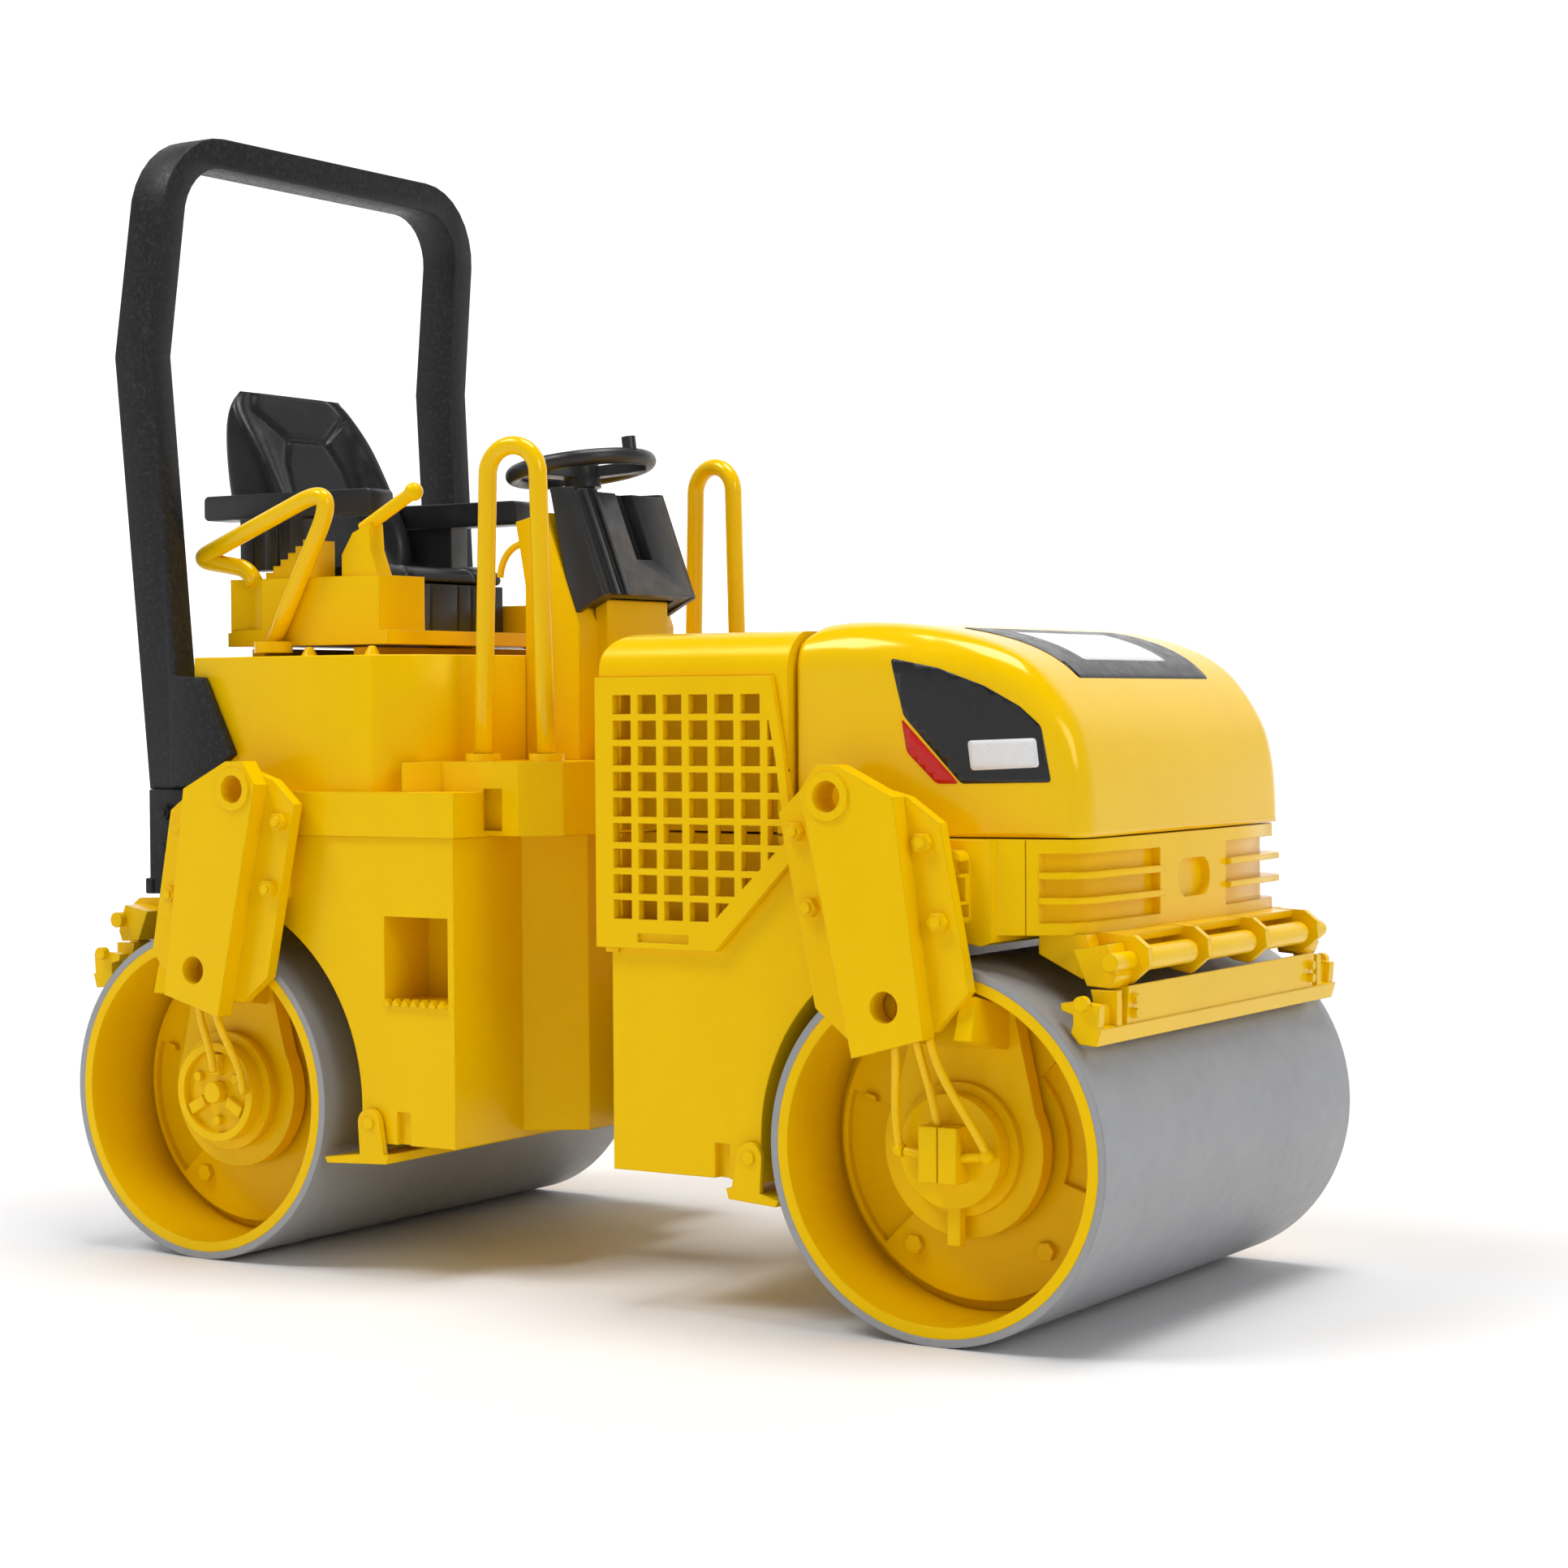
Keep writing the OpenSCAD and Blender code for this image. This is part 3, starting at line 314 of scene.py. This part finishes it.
def finish_mesh(name, mesh, smooth=True):
    """Turns a bmesh into an object of the scene."""
    bmesh.ops.recalc_face_normals(mesh, faces=mesh.faces)
    data = bpy.data.meshes.new(name)
    mesh.to_mesh(data)
    mesh.free()
    for face in data.polygons:
        face.use_smooth = smooth
    piece = bpy.data.objects.new(name, data)
    bpy.context.scene.collection.objects.link(piece)
    return piece


def add_piece(name, mesh, material, body, replaced=(), smooth=True):
    """Finishes a piece: its material, its body and the nodes it stands for."""
    piece = finish_mesh(name, mesh, smooth)
    piece.data.materials.append(material)
    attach(piece, body)
    if replaced:
        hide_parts(*replaced)
    return piece


def grid_faces(mesh, rows, closed=False):
    """Quads between rows of vertices; closed joins each row's last to its first."""
    for low, high in zip(rows, rows[1:]):
        count = len(low)
        for k in range(count if closed else count - 1):
            n = (k + 1) % count
            corners = [low[k], low[n], high[n], high[k]]
            unique = list(dict.fromkeys(corners))
            if len(unique) > 2:
                mesh.faces.new(unique)


def spline_weights(count, samples, closed):
    """Matrix that turns control values into points on a uniform cubic B-spline."""
    weights = np.zeros((samples, count))
    spans = count if closed else count - 1
    for s in range(samples):
        place = spans * s / (samples if closed else samples - 1)
        span = min(int(place), spans - 1)
        t = place - span
        basis = [(1 - t) ** 3, 3 * t ** 3 - 6 * t ** 2 + 4, -3 * t ** 3 + 3 * t ** 2 + 3 * t + 1, t ** 3]
        for offset, value in zip((-1, 0, 1, 2), basis):
            index = span + offset
            index = index % count if closed else min(max(index, 0), count - 1)
            weights[s, index] += value / 6
    return weights


def loft_points(net, around, along):
    """Dense points of a surface through a control net of closed rings."""
    net = np.array(net, float)
    ring = spline_weights(net.shape[1], around, True)
    path = spline_weights(net.shape[0], along, False)
    return np.einsum("ai,ijk,bj->abk", path, net, ring)


def loft_mesh(points):
    """Closed solid from rings of points, with a flat fan on each end."""
    mesh = bmesh.new()
    rows = [[mesh.verts.new(p * MM) for p in ring] for ring in points]
    grid_faces(mesh, rows, closed=True)
    for ring, source in ((rows[0], points[0]), (rows[-1], points[-1])):
        middle = mesh.verts.new(source.mean(0) * MM)
        for k in range(len(ring)):
            mesh.faces.new((ring[k], ring[(k + 1) % len(ring)], middle))
    return mesh


def add_tube(mesh, route, radius, sides=20):
    """A round bar swept along a route of points in millimetres, closed at both ends."""
    route = [Vector(p) for p in route]
    last = len(route) - 1
    start = (route[1] - route[0]).normalized()
    side = start.cross(Vector((0.03, 1, 0.05))).normalized()
    rows = []
    for i, point in enumerate(route):
        heading = (route[min(i + 1, last)] - route[max(i - 1, 0)]).normalized()
        side = (side - heading * side.dot(heading)).normalized()
        other = heading.cross(side)
        rows.append([
            mesh.verts.new((point + radius * (side * math.cos(a) + other * math.sin(a))) * MM)
            for a in (2 * math.pi * k / sides for k in range(sides))
        ])
    grid_faces(mesh, rows, closed=True)
    mesh.faces.new(rows[0][::-1])
    mesh.faces.new(rows[-1])


def bezier(a, b, c, d, steps):
    """Points of a cubic curve."""
    points = []
    for i in range(steps + 1):
        t = i / steps
        s = 1 - t
        near = s ** 3 * Vector(a) + 3 * s * s * t * Vector(b)
        points.append(near + 3 * s * t * t * Vector(c) + t ** 3 * Vector(d))
    return points


# ---------- rails and hoses ----------

RAIL_R = 1.25
RAIL_ORIGIN = Vector((-12.6, -24.5, 0))
RAIL_TOE = math.radians(9.5)
RAIL_BASE_Z, RAIL_BEND_Z, RAIL_BEND_R = 69.6, 108.4, 3.8
RAIL_LEAN = math.radians(1.5)


def hand_rail_route(side):
    """Foot, leg, half ring, leg and foot of a hand rail."""
    top_x = RAIL_BEND_R * math.cos(RAIL_LEAN)
    top_z = RAIL_BEND_Z + RAIL_BEND_R * math.sin(RAIL_LEAN)
    foot_x = top_x + (top_z - RAIL_BASE_Z) * math.tan(RAIL_LEAN)
    rise = top_z - RAIL_BASE_Z
    flat = [(foot_x + (top_x - foot_x) * t, RAIL_BASE_Z + rise * t) for t in (0, 0.3, 0.6, 0.9)]
    sweep = math.pi - 2 * RAIL_LEAN
    for i in range(33):
        angle = RAIL_LEAN + sweep * i / 32
        flat.append((RAIL_BEND_R * math.cos(angle), RAIL_BEND_Z + RAIL_BEND_R * math.sin(angle)))
    flat += [(-x, z) for x, z in flat[3::-1]]
    turn = Matrix.Rotation(RAIL_TOE, 3, "Z")
    route = [RAIL_ORIGIN + turn @ Vector((x, 0, z)) for x, z in flat]
    return [Vector((p.x, -side * p.y, p.z)) for p in route]


def make_hand_rails():
    """The two bent tubes in front of the deck."""
    for side, name in ((-1, "handrail_right"), (1, "handrail_left")):
        mesh = bmesh.new()
        add_tube(mesh, hand_rail_route(side), RAIL_R, 28)
        add_piece("bent_" + name, mesh, YELLOW_SHELL, "rear_frame", [name])


def rounded_corner(before, corner, after, radius, steps):
    """Points that cut a corner with a parabola."""
    before, corner, after = Vector(before), Vector(corner), Vector(after)
    u, v = (before - corner).normalized(), (after - corner).normalized()
    shares = [i / steps for i in range(steps + 1)]
    return [corner + u * radius * (1 - t) ** 2 + v * radius * t * t for t in shares]


def make_grab_rail():
    """The bent rail on the right-hand console."""
    foot, knee = Vector((-53.6, -26.6, 86.3)), Vector((-41.2, -26.6, 108.6))
    tail, hook = Vector((-68, -26.6, 98.4)), Vector((-60.6, -24.2, 97))
    end = hook + Vector((1.4, 0.2, -2.2))
    route = [foot, foot.lerp(knee, 0.25), foot.lerp(knee, 0.5)]
    route += rounded_corner(foot, knee, tail, 8, 20)
    route += [knee.lerp(tail, 0.5), knee.lerp(tail, 0.75)]
    route += rounded_corner(knee, tail, hook, 2.6, 14)
    route += rounded_corner(tail, hook, end, 1.4, 8) + [end]
    mesh = bmesh.new()
    add_tube(mesh, route, RAIL_R, 28)
    add_piece("bent_grab_rail", mesh, YELLOW_SHELL, "seat_carriage", ["grab_rail"])


HOSE_ROUTES = [
    ((54.6, -38.4, 37.5), (55, -38.4, 32), (52.4, -35.4, 29), (53, -34.6, 23.2)),
    ((57.4, -38.4, 37.5), (58.4, -38, 33), (58, -35.6, 31), (58.4, -34.7, 26)),
    ((59.4, -38.4, 37.5), (60.4, -38.2, 32), (63.4, -36, 28), (65, -34.6, 23.2)),
]
HOSE_R = 0.55


def make_hoses():
    """Moulded hydraulic hoses in front of each hub."""
    for body, name, end, count in (("front_frame", "front_hoses", 1, 3), ("rear_frame", "rear_hoses", -1, 2)):
        mesh = bmesh.new()
        for corners in HOSE_ROUTES[:count]:
            for side in (-1, 1):
                route = [Vector((end * p.x, -side * p.y, p.z)) for p in bezier(*corners, 24)]
                add_tube(mesh, route, HOSE_R, 16)
        add_piece("moulded_" + name, mesh, YELLOW_SHELL, body, [name])


CABLE_GUIDE_R = 0.5


def make_cable_guide():
    """The thin curved bar at the back of the steering pedestal."""
    mesh = bmesh.new()
    route = bezier((-21.2, -10.4, 99.8), (-23.6, -10.4, 99.9), (-25.4, -10.4, 98), (-25.7, -10.4, 95.2), 24)
    add_tube(mesh, route, CABLE_GUIDE_R, 16)
    add_piece("moulded_cable_guide", mesh, YELLOW_SHELL, "rear_frame", ["cable_guide"])


# ---------- bonnet ----------

BONNET_REAR_X, BONNET_BOTTOM_Z = 38.7, 61.0
BONNET_WALL = 1.6
RIM_FROM_Z, RIM_RISE, RIM_REACH, RIM_DRAW = 84.8, 1.6, 4.5, 1.6
CROWN_CENTRE, CROWN_R = (45.0, 27.2), 60.0
NOSE_CENTRE, NOSE_R, NOSE_FROM_X = (50.0, 62.0), 26.6, 56
NOSE_FRONT_X, NOSE_CORNER_R = 76.6, 2.2
SHOULDER_R, SHOULDER_TIGHTENING, SHOULDER_RUN = 5.6, 2.6, 16
# Half width of a side wall, where it is measured in X, and how fast it narrows forward
REAR_SIDE = (34.4, BONNET_REAR_X, 0.035)
FRONT_SIDE = (34.0, 50.0, 0.1917)
FRONT_SIDE_COSINE = 0.982
HINGE = (39.2, 85.6)
BOSS_R, BOSS_BORE_R = 1.1, 0.56
BOSSES = [(-26.8, -24.3), (-22.1, -19.6), (19.6, 22.1), (24.3, 26.8)]


def round_meet(a, b, radius):
    """Distance to two surfaces that meet in a rounded edge."""
    rounded = np.hypot(np.maximum(a + radius, 0), np.maximum(b + radius, 0))
    return np.minimum(np.maximum(a, b), -radius) + rounded


def soft_meet(a, b, blend):
    """Greater of two distances, blended where they are nearly equal."""
    share = np.clip(0.5 + 0.5 * (a - b) / blend, 0, 1)
    return b + (a - b) * share + blend * share * (1 - share)


def bonnet_distance(p):
    """Signed distance, in millimetres, to the bonnet's outer skin."""
    x, y, z = p[..., 0], np.abs(p[..., 1]), p[..., 2]
    crown = np.hypot(x - CROWN_CENTRE[0], z - CROWN_CENTRE[1]) - CROWN_R
    nose = np.hypot(x - NOSE_CENTRE[0], np.maximum(z - NOSE_CENTRE[1], 0)) - NOSE_R
    profile = soft_meet(crown, np.where(x > NOSE_FROM_X, nose, -9.0), 1.6)
    rear_side, front_side = (
        (y - half) + (x - from_x) * taper for half, from_x, taper in (REAR_SIDE, FRONT_SIDE)
    )
    side = soft_meet(rear_side, front_side * FRONT_SIDE_COSINE, 0.8)
    front = x - (NOSE_FRONT_X - 0.6 * (y / 27) ** 2)
    walls = round_meet(side, front, NOSE_CORNER_R)
    fade = np.clip((x - NOSE_FROM_X) / SHOULDER_RUN, 0, 1)
    return round_meet(walls, profile, SHOULDER_R - SHOULDER_TIGHTENING * fade)


def march(start, heading, inset):
    """Furthest points from start along headings that are inset below the skin."""
    low = np.zeros(heading.shape[:-1])
    high = np.full(heading.shape[:-1], 60.0)
    for _ in range(40):
        middle = (low + high) / 2
        outside = bonnet_distance(start + heading * middle[..., None]) > -inset
        high = np.where(outside, middle, high)
        low = np.where(outside, low, middle)
    return start + heading * low[..., None]


def clear_cowl(points):
    """Draws the rear rim forward above the hinge, so that it clears the cowl as the bonnet opens."""
    above = np.clip((points[..., 2] - RIM_FROM_Z) / RIM_RISE, 0, 1)
    behind = np.clip((BONNET_REAR_X + RIM_REACH - points[..., 0]) / RIM_REACH, 0, 1)
    points[..., 0] += RIM_DRAW * above * behind
    return points


def add_lathe(mesh, centre, outline, sides=40):
    """A ring turned about a line along Y; the outline lists (radius, y) and closes on itself."""
    x, z = centre
    angles = [2 * math.pi * k / sides for k in range(sides)]
    rows = []
    for radius, y in outline:
        ring = [Vector((x + radius * math.cos(a), y, z + radius * math.sin(a))) for a in angles]
        rows.append([mesh.verts.new(point * MM) for point in ring])
    grid_faces(mesh, rows + [rows[0]], closed=True)


def make_bonnet():
    """A thin double-curved shell, open behind and below, with its hinge bosses."""
    start = np.array([BONNET_REAR_X, 0.0, BONNET_BOTTOM_Z])
    lifts = np.radians(np.linspace(0, 90, 73))
    turns = np.radians(np.linspace(-90, 90, 145))
    mesh = bmesh.new()
    skins = []
    for inset in (0.0, BONNET_WALL):
        rows = []
        corners = [march(start, np.array([0.0, s, 0.0]), inset) for s in (-1, 1)]
        poles = [mesh.verts.new(Vector(corner) * MM) for corner in corners]
        across, ahead = np.sin(turns), np.cos(turns)
        for lift in lifts:
            heading = np.stack([ahead * math.cos(lift), across, ahead * math.sin(lift)], -1)
            skin = clear_cowl(march(start, heading, inset))
            inner = [mesh.verts.new(Vector(p) * MM) for p in skin[1:-1]]
            rows.append([poles[0], *inner, poles[1]])
        grid_faces(mesh, rows)
        skins.append(rows)
    outer, inner = skins
    grid_faces(mesh, [outer[0], inner[0]])
    grid_faces(mesh, [outer[-1], inner[-1]])
    for low, high in BOSSES:
        add_lathe(mesh, HINGE, [(BOSS_BORE_R, low), (BOSS_R, low), (BOSS_R, high), (BOSS_BORE_R, high)])
    add_piece("bonnet_shell", mesh, YELLOW_SHELL, "bonnet_lid", ["bonnet"])


# ---------- decals ----------

def cut_outline(outline, step):
    """A flat face in X and Y, cut into small square cells."""
    mesh = bmesh.new()
    mesh.faces.new([mesh.verts.new((a, b, 0)) for a, b in outline])
    for axis in (0, 1):
        values = [p[axis] for p in outline]
        place = math.ceil(min(values) / step) * step
        while place < max(values):
            normal = (1, 0, 0) if axis == 0 else (0, 1, 0)
            point = tuple(place * n for n in normal)
            geometry = mesh.verts[:] + mesh.edges[:] + mesh.faces[:]
            bmesh.ops.bisect_plane(mesh, geom=geometry, dist=1e-5, plane_co=point, plane_no=normal)
            place += step
    return mesh


def smooth_corners(outline, radius):
    """Outline whose corners are rounded by short arcs."""
    points = []
    count = len(outline)
    for i, corner in enumerate(outline):
        before, after = Vector((*outline[i - 1], 0)), Vector((*outline[(i + 1) % count], 0))
        here = Vector((*corner, 0))
        reach = min(radius, 0.4 * (before - here).length, 0.4 * (after - here).length)
        points += [(p.x, p.y) for p in rounded_corner(before, here, after, reach, 5)]
    return points


def drape(mesh, to_space, heading, proud):
    """Lays a flat outline on the bonnet and gives it the thickness of a sticker."""
    flat = np.array([to_space(v.co.x, v.co.y) for v in mesh.verts])
    heading = np.array(heading, float)
    skin = march(flat, np.broadcast_to(heading, flat.shape), 0.0)
    faces = mesh.faces[:]
    rims = [edge.verts[:] for edge in mesh.edges if len(edge.link_faces) == 1]
    backs = {}
    for vertex, place in zip(mesh.verts[:], skin):
        vertex.co = Vector(place + heading * proud) * MM
        backs[vertex] = mesh.verts.new(Vector(place - heading * proud) * MM)
    for face in faces:
        mesh.faces.new([backs[vertex] for vertex in reversed(face.verts)])
    for a, b in rims:
        mesh.faces.new((a, b, backs[b], backs[a]))


# Outlines in millimetres: the side ones in X and Z, the top ones in X and Y
SIDE_PATCH = [
    (51.5, 82.6), (57.4, 81.4), (63.2, 79.2), (67.6, 76.7), (70.2, 74.3), (71.4, 67.6), (60.4, 67.4),
    (53.2, 75.6),
]
SIDE_STRIP = [(52.9, 75.3), (60.1, 67.4), (57.3, 67.4), (53.6, 71.2)]
SIDE_BAR = [(61.2, 72.6), (69.6, 72.9), (70.0, 69.4), (61.6, 69.0)]
TOP_PATCH = [(54.5, -20.8), (69.5, -18.8), (69.5, 18.8), (54.5, 20.8)]
TOP_BAR = [(57.5, -12.5), (66.8, -12.0), (66.8, 11.5), (57.5, 12.0)]
STICKER_PROUD, BAR_PROUD, STICKER_CORNER, STICKER_CELL = 0.08, 0.12, 0.5, 1.0


def make_decals():
    """Plain stickers: a patch, a strip and a bar on each side, and a patch and a bar on the crown."""
    stickers = []
    for side, label in ((-1, "right"), (1, "left")):
        on_side = (lambda a, b: (a, 0.0, b), (0, side, 0))
        stickers += [
            ("side_patch_" + label, SIDE_PATCH, *on_side, STICKER_PROUD, DECAL_BLACK, "black_plastic"),
            ("side_strip_" + label, SIDE_STRIP, *on_side, STICKER_PROUD, DECAL_RED, "yellow_plastic"),
            ("side_bar_" + label, SIDE_BAR, *on_side, BAR_PROUD, DECAL_WHITE, "drum_silver"),
        ]
    on_top = (lambda a, b: (a, b, 62.0), (0, 0, 1))
    stickers += [
        ("top_patch", TOP_PATCH, *on_top, STICKER_PROUD, DECAL_BLACK, "black_plastic"),
        ("top_bar", TOP_BAR, *on_top, BAR_PROUD, DECAL_WHITE, "drum_silver"),
    ]
    for name, outline, to_space, heading, proud, material, slot in stickers:
        mesh = cut_outline(smooth_corners(outline, STICKER_CORNER), STICKER_CELL)
        drape(mesh, to_space, heading, proud)
        add_piece(name, mesh, material, "bonnet_lid")


# ---------- seat ----------

def groove(points, route, width, depth, normals):
    """Presses a rounded crease along a route of points into a surface."""
    route = np.array(route, float)
    nearest = np.full(points.shape[:-1], 1e9)
    for a, b in zip(route, route[1:]):
        span = b - a
        share = np.clip(((points - a) @ span) / (span @ span), 0, 1)
        nearest = np.minimum(nearest, np.linalg.norm(points - a - share[..., None] * span, axis=-1))
    push = depth * np.exp(-((nearest / width) ** 2))
    return points - normals * push[..., None]


def surface_normals(points):
    """Outward normals of a closed grid of rings."""
    around = np.roll(points, -1, 1) - np.roll(points, 1, 1)
    along = np.gradient(points, axis=0)
    normals = np.cross(around, along)
    length = np.linalg.norm(normals, axis=-1, keepdims=True)
    normals = normals / np.maximum(length, 1e-9)
    middle = points.mean(axis=1, keepdims=True)
    facing = np.sum(normals * (points - middle), axis=-1).mean()
    return normals if facing > 0 else -normals


def back_ring(z, centre_x, wing_x, rear_x, half):
    """Closed ring of the backrest at one height: dished centre, wings and a rounded rear."""
    bulge_x = rear_x - 0.2
    right = [
        (centre_x, 0), (centre_x, 0.3 * half), (centre_x, 0.56 * half),
        (centre_x + 0.25 * (wing_x - centre_x), 0.7 * half), (wing_x - 0.5, 0.78 * half),
        (wing_x, 0.9 * half), (wing_x - 0.6, 0.995 * half), (0.5 * (wing_x + rear_x), half),
        (rear_x + 0.6, half), (bulge_x, 0.9 * half), (bulge_x, 0.5 * half),
    ]
    loop = right + [(bulge_x, 0)] + [(x, -y) for x, y in reversed(right[1:])]
    return [(x, y, z) for x, y in loop]


# Height, then X of the centre, the wings and the rear, then half the width
BACK_ROWS = [
    (97.9, -62.8, -60.6, -66.8, 14), (100, -63.6, -60.6, -68.4, 14.2), (103.6, -65.2, -61.2, -71.2, 14.2),
    (107, -66.4, -63, -73.4, 14.2), (110.9, -67.8, -64.9, -74, 14.2), (114, -69, -66.6, -74.3, 14.2),
    (117, -70, -68.4, -74.4, 14.2), (119.5, -70.8, -70.2, -74.4, 14), (121.8, -71.6, -71.8, -74.2, 13.4),
    (123.4, -72.4, -72.6, -74, 12.2), (124.3, -73.2, -73.2, -73.8, 10.8),
]
BACK_SEAM = [(-70.2, 4.2, 117.4), (-69, 6.2, 113.6), (-66.4, 7, 106), (-63.6, 7, 98.4)]
SEAM_WIDTH, COLLAR_WIDTH = 0.4, 0.45
BACK_SEAM_DEPTH, COLLAR_DEPTH, CUSHION_SEAM_DEPTH = 0.45, 0.6, 0.35


def make_seat_back():
    """Moulded backrest with forward wings and pressed creases."""
    points = loft_points([back_ring(*row) for row in BACK_ROWS], 176, 110)
    normals = surface_normals(points)
    collar = [(-71.4, -10.4, 121.6), (-70.2, -4.2, 117.4), (-70.2, 4.2, 117.4), (-71.4, 10.4, 121.6)]
    points = groove(points, collar, COLLAR_WIDTH, COLLAR_DEPTH, normals)
    for side in (-1, 1):
        seam = [(x, side * y, z) for x, y, z in BACK_SEAM]
        points = groove(points, seam, SEAM_WIDTH, BACK_SEAM_DEPTH, normals)
    add_piece("moulded_seat_back", loft_mesh(points), SEAT, "seat_carriage", ["seat_back"])


CUSHION_PROFILE = [
    (-62.2, 95.1), (-54, 95.1), (-46, 95.1), (-44.2, 95.2), (-43.9, 96.2), (-44.8, 97.3), (-47.4, 97.8),
    (-52, 97.3), (-57, 97.2), (-61, 97.8), (-62.5, 97.6), (-62.5, 96.2),
]
CUSHION_SEAM = [
    (-62, 7.4, 97.6), (-50, 7.4, 97.4), (-46, 7.8, 97.6), (-44.2, 7.8, 96.6), (-43.9, 7.8, 95.4),
]
CUSHION_MIDDLE = np.array([-53.2, 96.4])
CUSHION_TOP_Z = 96.9
# Distance from the middle, scale of the profile, and how far the side bolster lifts its top
CUSHION_SECTIONS = [(14.2, 0.86, 0.0), (14.2, 0.97, 0.0), (13.4, 1.0, 0.4), (11.0, 1.0, 0.5), (8, 1.0, 0.1),
                    (3, 1.0, 0.0)]


def make_seat_cushion():
    """Moulded cushion with a rolled front edge, side bolsters and pressed creases."""
    sections = [(-y, *rest) for y, *rest in CUSHION_SECTIONS] + CUSHION_SECTIONS[::-1]
    net = []
    for y, scale, lift in sections:
        ring = []
        for x, z in CUSHION_PROFILE:
            raised = z + (lift if z > CUSHION_TOP_Z else 0)
            place = CUSHION_MIDDLE + (np.array([x, raised]) - CUSHION_MIDDLE) * scale
            ring.append((place[0], y, place[1]))
        net.append(ring)
    points = loft_points(net, 150, 120)
    normals = surface_normals(points)
    for side in (-1, 1):
        seam = [(x, side * y, z) for x, y, z in CUSHION_SEAM]
        points = groove(points, seam, SEAM_WIDTH, CUSHION_SEAM_DEPTH, normals)
    cross_seam = [(-50.4, -7.4, 97.3), (-50.4, 7.4, 97.3)]
    points = groove(points, cross_seam, SEAM_WIDTH, CUSHION_SEAM_DEPTH, normals)
    add_piece(
        "moulded_seat_cushion", loft_mesh(points), SEAT, "seat_carriage", ["seat_cushion"],
    )


# ---------- carried-over nodes ----------

SLOT_MATERIALS = {
    "yellow_plastic": YELLOW,
    "black_plastic": BLACK,
    "seat_plastic": SEAT,
    "drum_silver": SILVER,
    "steel": STEEL,
}
# Black nodes with a finer surface than the roll-over frame's
SMOOTH_NODES = {"dash_box", "steering_wheel", "spinner_knob", "steering_shaft", "seat_base", "armrests"}
# Box-like nodes and how much their edges are rounded, in millimetres
ROUND_EDGES = {
    "rops_arch": 0.55, "rops_feet": 0.4, "dash_box": 0.4, "seat_base": 0.4, "armrests": 0.4,
    "steering_pedestal": 0.4, "water_tank": 0.4,
}
WELD_DISTANCE = 0.002 * MM
CREASE_ANGLE, FLAT_ANGLE, BEVEL_ANGLE = math.radians(32), math.radians(0.6), math.radians(38)


def dress_nodes():
    """Gives every carried-over node its material; box-like nodes also get bevelled edges."""
    slots = {part["node"]: part["material_slot"] for part in frame["record"]["subparts"]}
    for name, node in NODES.items():
        material = SMOOTH_BLACK if name in SMOOTH_NODES else SLOT_MATERIALS[slots[name]]
        node.data.materials.clear()
        node.data.materials.append(material)
        for face in node.data.polygons:
            face.use_smooth = True
        weld = node.modifiers.new("weld", "WELD")
        weld.merge_threshold = WELD_DISTANCE
        if name not in ROUND_EDGES:
            crease = node.modifiers.new("crease", "EDGE_SPLIT")
            crease.split_angle = CREASE_ANGLE
            continue
        flat = node.modifiers.new("flat", "DECIMATE")
        flat.decimate_type = "DISSOLVE"
        flat.angle_limit = FLAT_ANGLE
        edge = node.modifiers.new("edge", "BEVEL")
        edge.limit_method = "ANGLE"
        edge.angle_limit = BEVEL_ANGLE
        edge.width = ROUND_EDGES[name] * MM
        edge.segments = 2
        edge.use_clamp_overlap = True
        edge.harden_normals = True
        edge.miter_outer = "MITER_ARC"


dress_nodes()
make_hand_rails()
make_grab_rail()
make_hoses()
make_cable_guide()
make_bonnet()
make_decals()
make_seat_back()
make_seat_cushion()
make_camera()
make_studio()
